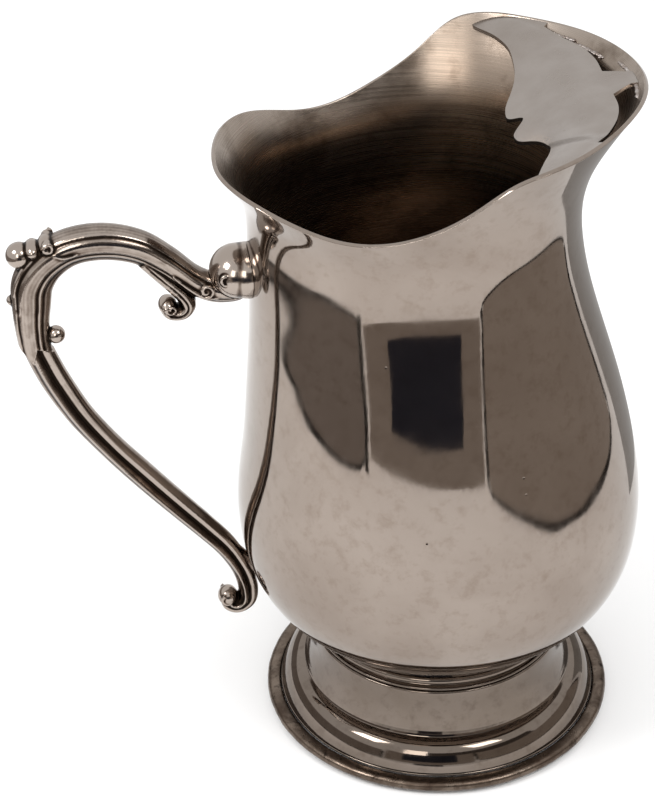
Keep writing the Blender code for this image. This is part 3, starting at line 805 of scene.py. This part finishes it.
def new_tree(name, inputs):
    """A geometry tree with these inputs, and the sockets that bring them in."""
    tree = bpy.data.node_groups.new(name, "GeometryNodeTree")
    for label, kind, value in inputs:
        socket = tree.interface.new_socket(label, in_out="INPUT", socket_type=kind)
        if value is not None:
            socket.default_value = value
    tree.interface.new_socket("Geometry", in_out="OUTPUT", socket_type="NodeSocketGeometry")
    return tree, add(tree, "NodeGroupInput").outputs


def end_tree(tree, geometry, look):
    """Ends the tree with a real mesh that has this look."""
    real = output(tree, "GeometryNodeRealizeInstances", {"Geometry": geometry})
    painted = output(tree, "GeometryNodeSetMaterial", {"Geometry": real, "Material": look})
    add(tree, "NodeGroupOutput", {"Geometry": painted})
    return tree


def grow(name, points, edges, tree, values):
    """Runs a tree on these lines with these inputs, and keeps its result as a plain mesh."""
    mesh = bpy.data.meshes.new(name + "_line")
    mesh.from_pydata(points, edges, [])
    obj = link(bpy.data.objects.new(name, mesh))
    step = obj.modifiers.new("grow", "NODES")
    step.node_group = tree
    for item in tree.interface.items_tree:
        if item.item_type == "SOCKET" and item.in_out == "INPUT" and item.name in values:
            step[item.identifier] = values[item.name]
    settle(obj)
    obj.data.transform(Matrix.Translation((AXIS, 0, 0)))
    return obj


def border_tree(look):
    """A wire border: its outline carried round a circle, then worn and dented by noise."""
    tree, into = new_tree(
        "wire_border",
        (
            ("Geometry", "NodeSocketGeometry", None),
            ("Radius", "NodeSocketFloat", 0.0562),
            ("Dent Depth", "NodeSocketFloat", 0.0002),
            ("Steps", "NodeSocketInt", 720),
            ("Seed", "NodeSocketFloat", 3.0),
        ),
    )
    outline = output(tree, "GeometryNodeMeshToCurve", {"Mesh": into["Geometry"]})
    ring = {"Radius": into["Radius"], "Resolution": into["Steps"]}
    circle = output(tree, "GeometryNodeCurvePrimitiveCircle", ring)
    upright = output(tree, "GeometryNodeSetCurveNormal", {"Curve": circle}, mode="Z_UP")
    carried = output(tree, "GeometryNodeCurveToMesh", {"Curve": upright, "Profile Curve": outline})
    wire = output(tree, "GeometryNodeFlipFaces", {"Mesh": carried})
    place = output(tree, "GeometryNodeInputPosition")
    noises = []
    for scale, detail in ((34.0, 2.0), (130.0, 3.0)):
        values = {"Vector": place, "W": into["Seed"], "Scale": scale, "Detail": detail}
        noises.append(output(tree, "ShaderNodeTexNoise", values, noise_dimensions="4D"))
    # Both noises together, only where they press the wire inwards.
    both = calc(tree, "MULTIPLY_ADD", noises[0], 1.2, noises[1])
    inward = calc(tree, "MINIMUM", calc(tree, "SUBTRACT", both, 1.25), 0.0)
    depth = calc(tree, "MULTIPLY", inward, into["Dent Depth"])
    facing = output(tree, "GeometryNodeInputNormal")
    push = output(tree, "ShaderNodeVectorMath", {0: facing, "Scale": depth}, operation="SCALE")
    moved = output(tree, "GeometryNodeSetPosition", {"Geometry": wire, "Offset": push})
    return end_tree(tree, moved, look)


def make_border(look):
    """The applied wire, whose inner side reaches most of the way across the gap to the flange."""
    fill = FIT_GAP * BORDER_FILL
    marks = [((BORDER_WIDTH + fill) * a, BORDER_HEIGHT * b) for a, b in BORDER_OUTLINE]
    line = marks[:1] + smooth_path(marks[1:], 4)
    count = len(line)
    points = [(a, -max(b, 0.0), 0.0) for a, b in line]
    edges = [(k, (k + 1) % count) for k in range(count)]
    values = {"Radius": FLANGE_RADIUS + FIT_GAP - fill, "Dent Depth": DENT_DEPTH, "Steps": 720, "Seed": 3.0}
    border = grow("border_wire", points, edges, border_tree(look), values)
    outward(border.data)
    smooth_shade(border, 50)
    return finish_piece(border, "worn_border", "foot_border")


def solder_tree(look):
    """Lumps of solder that sit along a line: small blobs of uneven size, close together."""
    tree, into = new_tree(
        "solder_lumps",
        (
            ("Geometry", "NodeSocketGeometry", None),
            ("Spacing", "NodeSocketFloat", 0.001),
            ("Blob Radius", "NodeSocketFloat", 0.0008),
            ("Seed", "NodeSocketInt", 5),
        ),
    )
    path = output(tree, "GeometryNodeMeshToCurve", {"Mesh": into["Geometry"]})
    spaced = {"Curve": path, "Length": into["Spacing"]}
    marks = output(tree, "GeometryNodeCurveToPoints", spaced, mode="LENGTH")
    blob = output(tree, "GeometryNodeMeshIcoSphere", {"Radius": into["Blob Radius"], "Subdivisions": 2})
    blob = output(tree, "GeometryNodeSetShadeSmooth", {"Geometry": blob})
    placing = {"Points": marks, "Instance": blob}
    for key, least, most in (
        ("Scale", (0.6, 0.6, 0.35), (1.5, 1.1, 0.8)),
        ("Rotation", (-0.4, -0.4, 0.0), (0.4, 0.4, 6.28)),
    ):
        values = {0: least, 1: most, "Seed": into["Seed"]}
        placing[key] = output(tree, "FunctionNodeRandomValue", values, data_type="FLOAT_VECTOR")
    return end_tree(tree, output(tree, "GeometryNodeInstanceOnPoints", placing), look)


def inner_rim(angle, down):
    """A point on the inside of the wall this far below the rim, in this direction."""
    radii, heights = meridian(angle)
    top = heights[-1] - down
    radius = float(np.interp(top, heights, radii)) - WALL * 1.25
    return (radius * math.cos(angle), radius * math.sin(angle), top)


def make_solder(look):
    """Solder left where the guard meets the wall beside each slot, and round its tab."""
    points = []
    edges = []
    for start, end, down in SOLDER_LINES:
        for k in range(SOLDER_STEPS + 1):
            if k:
                edges.append((len(points) - 1, len(points)))
            angle = math.radians(start + (end - start) * k / SOLDER_STEPS)
            points.append(inner_rim(angle, down * MM))
    values = {"Spacing": SOLDER_SPACING, "Blob Radius": SOLDER_RADIUS, "Seed": 5}
    lumps = grow("guard_solder", points, edges, solder_tree(look), values)
    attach(lumps, "root")
    return lumps


# Handle


def handle_point(out, up):
    """A point in the middle plane. It follows the belly near the lower joint and the neck above."""
    back = belly_radius(HANDLE_LOW)
    radius = back + (NECK_BACK - back) * rise_between(up, *NECK_TAKES_OVER)
    return Vector((-radius - out * HANDLE_UNIT, 0, HANDLE_LOW + up * HANDLE_UNIT))


# Half outlines of the castings, from the outer crest to the inner one, as shares of the half sizes.
ARCH_SECTION = (
    (1.0, 0.0),
    (0.98, 0.3),
    (0.92, 0.54),
    (0.82, 0.71),
    (0.75, 0.76),
    (0.7, 0.745),
    (0.66, 0.77),
    (0.6, 0.86),
    (0.46, 0.96),
    (0.28, 1.0),
    (0.08, 0.985),
    (-0.1, 0.93),
    (-0.21, 0.85),
    (-0.27, 0.76),
    (-0.33, 0.765),
    (-0.42, 0.76),
    (-0.5, 0.68),
    (-0.58, 0.57),
    (-0.72, 0.5),
    (-0.86, 0.38),
    (-0.96, 0.2),
    (-1.0, 0.0),
)
LIMB_SECTION = (
    (1.0, 0.0),
    (0.97, 0.27),
    (0.87, 0.49),
    (0.7, 0.64),
    (0.5, 0.7),
    (0.36, 0.69),
    (0.27, 0.63),
    (0.2, 0.59),
    (0.12, 0.62),
    (0.0, 0.73),
    (-0.14, 0.86),
    (-0.26, 0.95),
    (-0.34, 1.0),
    (-0.4, 0.98),
    (-0.46, 0.88),
    (-0.53, 0.78),
    (-0.64, 0.67),
    (-0.7, 0.64),
    (-0.8, 0.53),
    (-0.92, 0.3),
    (-1.0, 0.0),
)
VOLUTE_SECTION = (
    (1.0, 0.0),
    (0.9, 0.5),
    (0.6, 0.86),
    (0.3, 1.0),
    (0.12, 0.95),
    (0.0, 0.82),
    (-0.12, 0.95),
    (-0.3, 0.97),
    (-0.6, 0.8),
    (-0.9, 0.44),
    (-1.0, 0.0),
)


def sweep(name, path, section):
    """Carries a closed section along a path in the middle plane, with flat ends."""
    line = smooth_path(path, SWEEP_STEPS)
    centres = [handle_point(row[0], row[1]) for row in line]
    outline = list(section) + [(a, -b) for a, b in section[-2:0:-1]]
    rows = []
    for i, (_, _, thick, wide) in enumerate(line):
        ahead = centres[min(i + 1, len(line) - 1)] - centres[max(i - 1, 0)]
        ahead.normalize()
        normal = Vector((-ahead.z, 0, ahead.x))
        row = []
        for out, side in outline:
            point = centres[i] + normal * (out * thick * HANDLE_UNIT)
            row.append(point + Vector((0, side * wide * HANDLE_UNIT, 0)))
        rows.append(row)
    return flat_ended_solid(name, rows)


def tube(name, points, radii, sides=8):
    """A round bar through the points, of changing radius, closed at both ends."""
    turns = [2 * math.pi * k / sides for k in range(sides)]
    rows = []
    for i, point in enumerate(points):
        ahead = (points[min(i + 1, len(points) - 1)] - points[max(i - 1, 0)]).normalized()
        side = ahead.cross(Vector((0, 1, 0)))
        if side.length < 0.1:
            side = ahead.cross(Vector((0, 0, 1)))
        side.normalize()
        over = ahead.cross(side)
        rows.append([point + (side * math.cos(turn) + over * math.sin(turn)) * radii[i] for turn in turns])
    return pointed_solid(name, rows, points[0], points[-1])


def knob(place, segments=32):
    """An egg-shaped knob, placed by (out, up, radius, half width)."""
    out, up, radius, width = place
    centre = handle_point(out, up)
    count = segments // 2
    rows = []
    for i in range(1, count):
        fall = math.pi * i / count
        row = []
        for k in range(segments):
            turn = 2 * math.pi * k / segments
            x = math.sin(fall) * math.cos(turn) * radius
            z = math.sin(fall) * math.sin(turn) * radius
            row.append(centre + Vector((x, math.cos(fall) * width, z)) * HANDLE_UNIT)
        rows.append(row)
    end = Vector((0, width * HANDLE_UNIT, 0))
    return pointed_solid("knob", rows, centre + end, centre - end)


def curl(out, up, reach, turns, size, side, way, begin):
    """A raised spiral on one flank of a casting, thinner towards its eye."""
    centre = handle_point(out, up)
    points = []
    radii = []
    steps = int(CURL_STEPS * turns)
    for k in range(steps + 1):
        share = k / steps
        turn = math.radians(begin) + way * 2 * math.pi * turns * share
        away = reach * (1 - CURL_CLOSES * share) * MM
        points.append(centre + Vector((math.cos(turn) * away, side * MM, math.sin(turn) * away)))
        radii.append(size * (1 - CURL_TAPERS * share) * MM)
    return tube("curl", points, radii)


def curl_on(drawn, side, turned=1):
    """A spiral from its table on the flank of this side, turned the other way round with -1."""
    *form, flank, way, begin = drawn
    return curl(*form, side * flank, turned * way, begin)


def rib(marks, size, side):
    """A raised line on one flank, through (out, up) marks, thin at both ends."""
    line = smooth_path(marks, 8)
    points = []
    radii = []
    for k, (out, up) in enumerate(line):
        share = k / (len(line) - 1)
        points.append(handle_point(out, up) + Vector((0, side * MM, 0)))
        radii.append(size * MM * (RIB_END + (1 - RIB_END) * math.sin(math.pi * share) ** 0.6))
    return tube("rib", points, radii)


def joint_cutter(shift, reach):
    """A prism on one side of the leaf joint, which is moved up by the shift."""
    line = [handle_point(out, up) + Vector((0, 0, shift)) for out, up in LEAF_JOINT]
    line += [line[-1] + Vector((0, 0, reach)), line[0] + Vector((0, 0, reach))]
    wide = Vector((0, CUTTER_WIDTH, 0))
    return flat_ended_solid("joint_cutter", [[point + way * wide for point in line] for way in (1, -1)])


def fuse(name, parts, rounds):
    """Melts overlapping parts into one cast skin, smoothed in this many rounds."""
    first = parts[0]
    first.name = name
    work = bmesh.new()
    for part in parts:
        work.from_mesh(part.data)
    mesh = bpy.data.meshes.new(name)
    work.to_mesh(mesh)
    work.free()
    first.data = mesh
    drop(*parts[1:])
    melt = first.modifiers.new("melt", "REMESH")
    melt.mode = "VOXEL"
    melt.voxel_size = CAST_VOXEL
    melt.use_smooth_shade = True
    ease = first.modifiers.new("ease", "SMOOTH")
    ease.factor = 0.5
    ease.iterations = rounds
    return settle(first)


def mark_recesses(mesh):
    """Stores how hollow the skin is at each point, from 0 on a crest to 1 in a recess."""
    place = read(mesh.vertices, "co", 3)
    facing = read(mesh.vertices, "normal", 3)
    ends = read(mesh.edges, "vertices", 2, np.int32)
    near = np.bincount(ends.ravel(), minlength=len(place))[:, None]

    def blur(values):
        total = np.zeros_like(values)
        np.add.at(total, ends[:, 0], values[ends[:, 1]])
        np.add.at(total, ends[:, 1], values[ends[:, 0]])
        return 0.5 * values + 0.5 * total / np.maximum(near, 1)

    softened = place
    for _ in range(RECESS_ROUNDS):
        softened = blur(softened)
    hollow = ((softened - place) * facing).sum(axis=1)[:, None]
    hollow = blur(hollow)[:, 0]
    spread = np.percentile(np.abs(hollow), 90) + 1e-9
    store(mesh, "recess", np.clip(0.5 + 0.5 * hollow / spread, 0.0, 1.0))


def finish_casting(obj, look, node):
    only_look(obj, look)
    smooth_shade(obj)
    mark_recesses(obj.data)
    return finish_piece(obj, "cast_silver", node)


def make_boss(look, outside):
    """The boss: a bulb on a collar, with a small volute melted onto each flank after it is eased."""
    bulb = [knob(place, BOSS_SEGMENTS) for place in (BOSS_KNOB, BOSS_COLLAR)]
    boss = fuse("neck_boss", bulb, BULB_ROUNDS)
    scrolls = [curl_on(BOSS_CURL, side, side) for side in (-1, 1)]
    boss = fuse("neck_boss", [boss] + scrolls, VOLUTE_ROUNDS)
    boolean(boss, outside)
    return finish_casting(boss, look, "handle_boss")


def make_arch(look):
    """The upper casting, with its knobs, inner volute, fine curls and leaf edges."""
    parts = [sweep("upper_casting", ARCH, ARCH_SECTION), sweep("volute", VOLUTE, VOLUTE_SECTION)]
    parts += [knob(place) for place in THUMB_KNOBS + (VOLUTE_KNOB,)]
    # The roll carries the first curl on each of its ends.
    roll = handle_point(*ARCH_CURLS[0][:2])
    reach = Vector((0, ROLL[1], 0))
    parts.append(tube("roll", [roll - reach, roll, roll + reach], [ROLL[0]] * 3, 24))
    for side in (-1, 1):
        parts += [curl_on(drawn, side) for drawn in ARCH_CURLS]
        parts += [rib(marks, size, side * flank) for marks, size, flank in ARCH_RIBS]
    arch = fuse("handle_upper", parts, CAST_ROUNDS)
    for out, up, radius, width in (BOSS_KNOB, BOSS_COLLAR):
        boolean(arch, knob((out, up, radius + BOSS_GAP, width + BOSS_GAP), BOSS_SEGMENTS))
    boolean(arch, joint_cutter(LEAF_GAP, -CUTTER_REACH))
    return finish_casting(arch, look, "handle_arch")


def make_limb(look, outside):
    """The lower casting, with its web to the belly and its lower scroll."""
    parts = [sweep("lower_casting", LIMB, LIMB_SECTION), knob(LIMB_KNOB)]
    out, up, reach = WEB
    start = handle_point(out + reach, up + reach * 1.2)
    end = handle_point(out - reach * 0.8, up - reach)
    parts.append(tube("web", [start, (start + end) / 2, end], [WEB_RADIUS] * 3, 16))
    parts += [curl_on(LIMB_CURL, side) for side in (-1, 1)]
    limb = fuse("handle_lower", parts, CAST_ROUNDS)
    boolean(limb, joint_cutter(0.0, CUTTER_REACH))
    boolean(limb, outside)
    return finish_casting(limb, look, "handle_limb")


# Materials


def dress(made, values):
    """Feeds the material's shader with values or sockets."""
    shader = made.node_tree.nodes["Principled BSDF"]
    for key, value in values.items():
        feed(made.node_tree, shader.inputs[key], value)
    return made


def new_material(name):
    made = bpy.data.materials.new(name)
    made.use_nodes = True
    return made


def metal(name):
    """A new material, its tree and the piece's own coordinates."""
    made = new_material(name)
    coords = add(made.node_tree, "ShaderNodeTexCoord").outputs["Object"]
    return made, made.node_tree, coords


def polish(made, colour, roughness, normal):
    """Makes the material a bare metal with this colour, roughness and relief."""
    values = {"Metallic": 1.0, "Base Color": colour, "Roughness": roughness, "Normal": normal}
    return dress(made, values)


def ramp(tree, source, stops):
    node = add(tree, "ShaderNodeValToRGB", {"Fac": source})
    bar = node.color_ramp
    while len(bar.elements) < len(stops):
        bar.elements.new(0.5)
    for element, (place, colour) in zip(bar.elements, stops):
        element.position = place
        element.color = (*colour, 1.0)
    return node.outputs["Color"]


def grade(tree, source, start, end, low=0.0, high=1.0):
    """A grey that goes from low to high while the source goes from start to end."""
    return ramp(tree, source, ((start, (low,) * 3), (end, (high,) * 3)))


def noise_at(tree, source, scale, detail, roughness, distortion=0.0):
    values = {"Vector": source, "Scale": scale, "Detail": detail, "Roughness": roughness}
    return output(tree, "ShaderNodeTexNoise", values | {"Distortion": distortion})


def blend_colour(tree, factor, first, second):
    values = {"Factor": factor, "A": first, "B": second}
    return add(tree, "ShaderNodeMix", values, data_type="RGBA").outputs["Result"]


def stretched(tree, source, scale):
    return output(tree, "ShaderNodeMapping", {"Vector": source, "Scale": scale})


def bump(tree, height, strength, distance, before=None):
    values = {"Height": height, "Strength": strength, "Distance": distance}
    if before is not None:
        values["Normal"] = before
    return output(tree, "ShaderNodeBump", values)


def pits(tree, coords, scale, share):
    """Small dark pits scattered over the plate: 1 in a pit and 0 elsewhere."""
    cell = add(tree, "ShaderNodeTexVoronoi", {"Vector": coords, "Scale": scale})
    reach = {"Value": cell.outputs["Distance"], "From Min": 0.05, "From Max": 0.015}
    near = output(tree, "ShaderNodeMapRange", reach)
    red = output(tree, "ShaderNodeSeparateColor", {"Color": cell.outputs["Color"]})
    return calc(tree, "MULTIPLY", near, calc(tree, "LESS_THAN", red, share))


def plate_look(name, bright, dull, tarnish, rough):
    """Old silver plate: a soft mirror with tarnish clouds, polishing haze, fine scratches and pits."""
    made, tree, coords = metal(name)
    clouds = grade(tree, noise_at(tree, coords, 26.0, 5.0, 0.6, 0.4), 0.36, 0.68)
    base = blend_colour(tree, clouds, bright, dull)
    fine = grade(tree, noise_at(tree, coords, 210.0, 4.0, 0.7), 0.5, 0.78, 0.0, 0.6)
    base = blend_colour(tree, fine, base, tarnish)
    spots = pits(tree, coords, 95.0, 0.22)
    base = blend_colour(tree, spots, base, (0.05, 0.035, 0.025))
    haze = grade(tree, noise_at(tree, coords, 60.0, 5.0, 0.65), 0.3, 0.75, *rough)
    wavy = bump(tree, noise_at(tree, coords, 34.0, 1.5, 0.4), 0.12, 0.002)
    hairs = noise_at(tree, stretched(tree, coords, (900.0, 900.0, 60.0)), 1.0, 2.0, 0.6)
    wavy = bump(tree, hairs, 0.05, 0.0001, wavy)
    return polish(made, base, haze, bump(tree, spots, 0.3, -0.0002, wavy))


def inside_look():
    """The dark inside: fine lines of the lathe run round it. Its colour darkens below the rim, partly brown
    stain and partly painted shade, and a warm band in it is a painted reflection.
    """
    made, tree, coords = metal("stained_inside_shade_and_glow")
    below = add(tree, "ShaderNodeAttribute", attribute_name="below_rim").outputs["Fac"]
    uneven = calc(tree, "MULTIPLY_ADD", noise_at(tree, coords, 30.0, 4.0, 0.6), 0.02, below)
    depth = output(tree, "ShaderNodeMapRange", {"Value": uneven, "From Min": 0.0, "From Max": 0.15})
    # Darker further below the rim: brown stain, and deeper down painted shade. The bright warm stop at 0.34
    # is a painted reflection, a warm glow on the inner wall.
    stain_shade_and_glow = ramp(
        tree,
        depth,
        (
            (0.0, (0.4, 0.35, 0.31)),
            (0.1, (0.27, 0.22, 0.18)),
            (0.22, (0.27, 0.21, 0.165)),
            (0.34, (0.72, 0.52, 0.36)),
            (0.5, (0.22, 0.165, 0.125)),
            (1.0, (0.16, 0.12, 0.095)),
        ),
    )
    cloudy = grade(tree, noise_at(tree, coords, 60.0, 6.0, 0.65), 0.5, 0.72, 0.0, 0.75)
    base = blend_colour(tree, cloudy, stain_shade_and_glow, (0.07, 0.046, 0.03))
    rings = noise_at(tree, stretched(tree, coords, (10.0, 10.0, 3400.0)), 1.0, 3.0, 0.6)
    rubbed = noise_at(tree, stretched(tree, coords, (700.0, 700.0, 90.0)), 1.0, 3.0, 0.6)
    relief = bump(tree, rubbed, 0.08, 0.0001, bump(tree, rings, 0.1, 0.0001))
    return polish(made, base, grade(tree, rings, 0.3, 0.7, 0.22, 0.32), relief)


def satin_look():
    """The guard: soft rolled sheet with faint marks."""
    made, tree, coords = metal("satin_guard")
    clouds = grade(tree, noise_at(tree, coords, 45.0, 5.0, 0.6), 0.35, 0.7)
    base = blend_colour(tree, clouds, (0.355, 0.318, 0.29), (0.29, 0.252, 0.224))
    base = blend_colour(tree, pits(tree, coords, 160.0, 0.2), base, (0.12, 0.09, 0.07))
    haze = grade(tree, noise_at(tree, coords, 90.0, 5.0, 0.65), 0.3, 0.75, 0.2, 0.3)
    marks = noise_at(tree, stretched(tree, coords, (120.0, 1400.0, 400.0)), 1.0, 2.0, 0.6)
    return polish(made, base, haze, bump(tree, marks, 0.06, 0.0001))


def solder_look():
    """Rough grey solder."""
    made, tree, coords = metal("grey_solder")
    clouds = grade(tree, noise_at(tree, coords, 500.0, 4.0, 0.7), 0.3, 0.7)
    base = blend_colour(tree, clouds, (0.50, 0.46, 0.44), (0.22, 0.17, 0.14))
    rough = noise_at(tree, coords, 1500.0, 3.0, 0.7)
    return polish(made, base, 0.36, bump(tree, rough, 0.4, 0.0002))


def border_look():
    """The worn foot border: plate gone to brown, with bright rubbed spots and black dents."""
    made, tree, coords = metal("worn_border_wire")
    wear = grade(tree, noise_at(tree, coords, 120.0, 6.0, 0.65, 0.5), 0.34, 0.66)
    base = blend_colour(tree, wear, (0.075, 0.053, 0.04), (0.19, 0.15, 0.12))
    dark = grade(tree, noise_at(tree, coords, 260.0, 4.0, 0.7), 0.58, 0.7)
    base = blend_colour(tree, dark, base, (0.022, 0.015, 0.011))
    haze = grade(tree, wear, 0.0, 1.0, 0.36, 0.2)
    rough = noise_at(tree, coords, 420.0, 5.0, 0.7)
    return polish(made, base, haze, bump(tree, rough, 0.35, 0.0003))


def cast_look():
    """The castings: bright where hands rub them and oxidised brown to black in the recesses."""
    made, tree, coords = metal("cast_handle")
    hollow = add(tree, "ShaderNodeAttribute", attribute_name="recess").outputs["Fac"]
    mixed = calc(tree, "MULTIPLY_ADD", noise_at(tree, coords, 160.0, 5.0, 0.65), 0.35, hollow)
    base = ramp(
        tree,
        mixed,
        (
            (0.42, (0.37, 0.315, 0.275)),
            (0.57, (0.2, 0.16, 0.133)),
            (0.7, (0.065, 0.045, 0.034)),
            (0.9, (0.014, 0.0095, 0.007)),
        ),
    )
    spots = pits(tree, coords, 260.0, 0.25)
    base = blend_colour(tree, spots, base, (0.04, 0.03, 0.022))
    haze = grade(tree, mixed, 0.45, 1.0, 0.14, 0.42)
    uneven = bump(tree, noise_at(tree, coords, 330.0, 5.0, 0.6), 0.16, 0.0003)
    return polish(made, base, haze, bump(tree, spots, 0.4, -0.0002, uneven))


# Plate finishes: bright, dull and tarnished colour, and the range of roughness.
OUTSIDE_PLATE = ((0.315, 0.266, 0.230), (0.265, 0.218, 0.185), (0.2, 0.152, 0.118), (0.03, 0.1))
# The foot is the same silver plate in darker colours: a painted shade for the shaded floor that it
# reflects.
SHADED_FOOT_PLATE = ((0.2, 0.166, 0.142), (0.163, 0.132, 0.108), (0.095, 0.07, 0.055), (0.04, 0.12))


# Studio

FLOOR_REACH = 3.0
FLOOR_COLOUR = (0.97, 0.97, 0.97)
CARD_STEPS = 48
# Card colours and how brightly they glow.
CARD_LOOKS = (
    ("dark_card", (0.036, 0.038, 0.052), 1.0),
    ("seam_card", (0.03, 0.026, 0.024), 1.0),
    ("grey_card", (0.38, 0.335, 0.30), 1.0),
    ("left_grey_card", (0.32, 0.285, 0.262), 1.0),
    ("pale_card", (0.44, 0.39, 0.35), 1.0),
    ("side_card", (0.42, 0.41, 0.4), 1.0),
    ("room_card", (0.11, 0.095, 0.085), 1.0),
    ("light_card", (1.0, 0.97, 0.93), 5.0),
)
# Each card's look and place, as card_wall takes it.
CARDS = (
    ("light_card", "light_card", -31.0, -15.0, 0.95, 0.95, 0.38, 0.85),
    ("room_card", "room_card", -14.0, 64.0, 1.0, 1.0, 0.26, 0.75),
    ("window_card", "dark_card", -30.0, 5.0, 0.46, 0.46, 0.064, 0.23),
    ("frame_card", "grey_card", -41.0, 16.0, 0.47, 0.47, 0.03, 0.235),
    ("far_card", "dark_card", -22.0, -4.0, 0.9, 0.9, 0.0, 0.05),
    ("left_card", "left_grey_card", -160.0, -44.0, 0.34, 0.44, 0.0, 0.15, 0.03),
    ("right_card", "pale_card", 18.0, 108.0, 0.40, 0.28, 0.0, 0.15, 0.05),
    ("side_card", "side_card", 110.0, 150.0, 0.21, 0.19, 0.0, 0.12),
    ("left_seam", "seam_card", -44.0, -42.0, 0.45, 0.45, 0.02, 0.15),
    ("right_seam", "seam_card", 16.6, 18.0, 0.39, 0.39, 0.05, 0.15),
    ("side_seam", "seam_card", 107.0, 109.0, 0.27, 0.27, 0.05, 0.15),
    ("low_seam", "seam_card", 17.0, 109.0, 0.395, 0.275, 0.0, 0.006, 0.05),
    ("left_low_seam", "seam_card", -160.0, -44.0, 0.335, 0.435, 0.0, 0.006, 0.03),
)
# Name, place and power of each lamp. They are square and aim at the middle of the pitcher.
LAMPS = (
    ("left_softbox", (-0.55, -0.25, 0.75), 3.2),
    ("right_softbox", (0.35, -0.45, 0.8), 2.2),
)
LAMP_SIZE = 0.28
# The camera that fits the photograph: its turn, height and roll in degrees, the place of a point
# on the axis in its view, and its focal length and picture height in pixels.
CAMERA_TURNS = (-5.6518, 33.2458, -1.3305)
CAMERA_AIM = 0.1
CAMERA_OFFSET = Vector((37.319, -17.698, -778.638)) * MM
FOCAL_LENGTH = 2300.0
PICTURE_HEIGHT = 800.0
SENSOR = 36.0


def plain(name, colour, strength=0.0):
    """A matt colour or, with a strength, one that only glows."""
    values = {
        "Base Color": (0.0, 0.0, 0.0) if strength else colour,
        "Roughness": 0.9,
        "Specular IOR Level": 0.0,
        "Emission Color": colour,
        "Emission Strength": strength,
    }
    return dress(new_material(name), values)


def card_wall(name, look, start, end, near, far, low, high, corner=0.0):
    """A curved studio card that only shows in the silver, from one direction to another.

    Directions are in degrees from the front, towards the spout. Near and far are its distances at
    its two ends. Both edges rise by the corner height towards both ends.
    """
    points = []
    for k in range(CARD_STEPS + 1):
        share = k / CARD_STEPS
        turn = math.radians(start + (end - start) * share)
        reach = near + (far - near) * share
        rise = corner * (1 - math.sqrt(1 - (2 * share - 1) ** 2))
        for height in (low, high):
            points.append((AXIS + math.sin(turn) * reach, -math.cos(turn) * reach, height + rise))
    mesh = bpy.data.meshes.new(name)
    mesh.from_pydata(points, [], [(2 * k, 2 * k + 2, 2 * k + 3, 2 * k + 1) for k in range(CARD_STEPS)])
    mesh.materials.append(look)
    card = link(bpy.data.objects.new(name, mesh))
    card.visible_camera = False
    card.visible_diffuse = False
    card.visible_shadow = False


def make_studio():
    mesh = bpy.data.meshes.new("floor")
    signs = ((-1, -1), (1, -1), (1, 1), (-1, 1))
    mesh.from_pydata([(x * FLOOR_REACH, y * FLOOR_REACH, 0) for x, y in signs], [], [(0, 1, 2, 3)])
    mesh.materials.append(plain("pale_floor", FLOOR_COLOUR))
    floor = link(bpy.data.objects.new("floor", mesh))
    world = bpy.data.worlds.new("soft_light")
    bpy.context.scene.world = world
    world.use_nodes = True
    sky = world.node_tree.nodes["Background"]
    sky.inputs["Color"].default_value = (1.0, 1.0, 1.0, 1.0)
    sky.inputs["Strength"].default_value = 1.0
    looks = {name: plain(name, colour, strength) for name, colour, strength in CARD_LOOKS}
    for name, look, *place in CARDS:
        card_wall(name, looks[look], *place)
    for name, at, power in LAMPS:
        lamp = bpy.data.lights.new(name, "AREA")
        lamp.energy = power
        lamp.size = LAMP_SIZE
        obj = link(bpy.data.objects.new(name, lamp))
        obj.location = at
        aim = Vector((AXIS * 0.5, 0, 0.12)) - Vector(at)
        obj.rotation_euler = aim.to_track_quat("-Z", "Y").to_euler()


def make_camera():
    """The photograph's view: above the handle's near side, looking down at the mouth."""
    azimuth, elevation, roll = map(math.radians, CAMERA_TURNS)
    flat = math.cos(elevation)
    back = Vector((math.sin(azimuth) * flat, -math.cos(azimuth) * flat, math.sin(elevation)))
    right = Vector((math.cos(azimuth), math.sin(azimuth), 0))
    up = back.cross(right)
    turned_right = right * math.cos(roll) + up * math.sin(roll)
    turned_up = up * math.cos(roll) - right * math.sin(roll)
    x, y, z = CAMERA_OFFSET
    place = Vector((AXIS, 0, CAMERA_AIM)) - turned_right * x - turned_up * y - back * z
    turn = Matrix((turned_right, turned_up, back)).transposed()
    lens = bpy.data.cameras.new("camera")
    lens.sensor_width = SENSOR
    lens.lens = FOCAL_LENGTH * SENSOR / PICTURE_HEIGHT
    camera = link(bpy.data.objects.new("camera", lens))
    camera.matrix_world = Matrix.Translation(place) @ turn.to_4x4()
    bpy.context.scene.camera = camera


def main():
    make_camera()
    make_studio()
    plate = plate_look("silver_plate_outside", *OUTSIDE_PLATE)
    # The foot's plate is drawn darker than the body's as painted shade.
    foot = plate_look("silver_plate_foot_painted_shade", *SHADED_FOOT_PLATE)
    cast = cast_look()
    grid, out = vessel_grid()
    make_vessel(grid, out, plate, inside_look())
    make_guard(satin_look(), grid, out)
    make_collar(foot)
    make_pedestal(foot)
    make_border(border_look())
    make_solder(solder_look())
    make_boss(cast, room_solid(grid, out, FIT_GAP / 3, 2))
    make_arch(cast)
    make_limb(cast, room_solid(grid, out, FIT_GAP / 3, 2))
    bpy.context.scene.view_settings.view_transform = "Standard"


main()
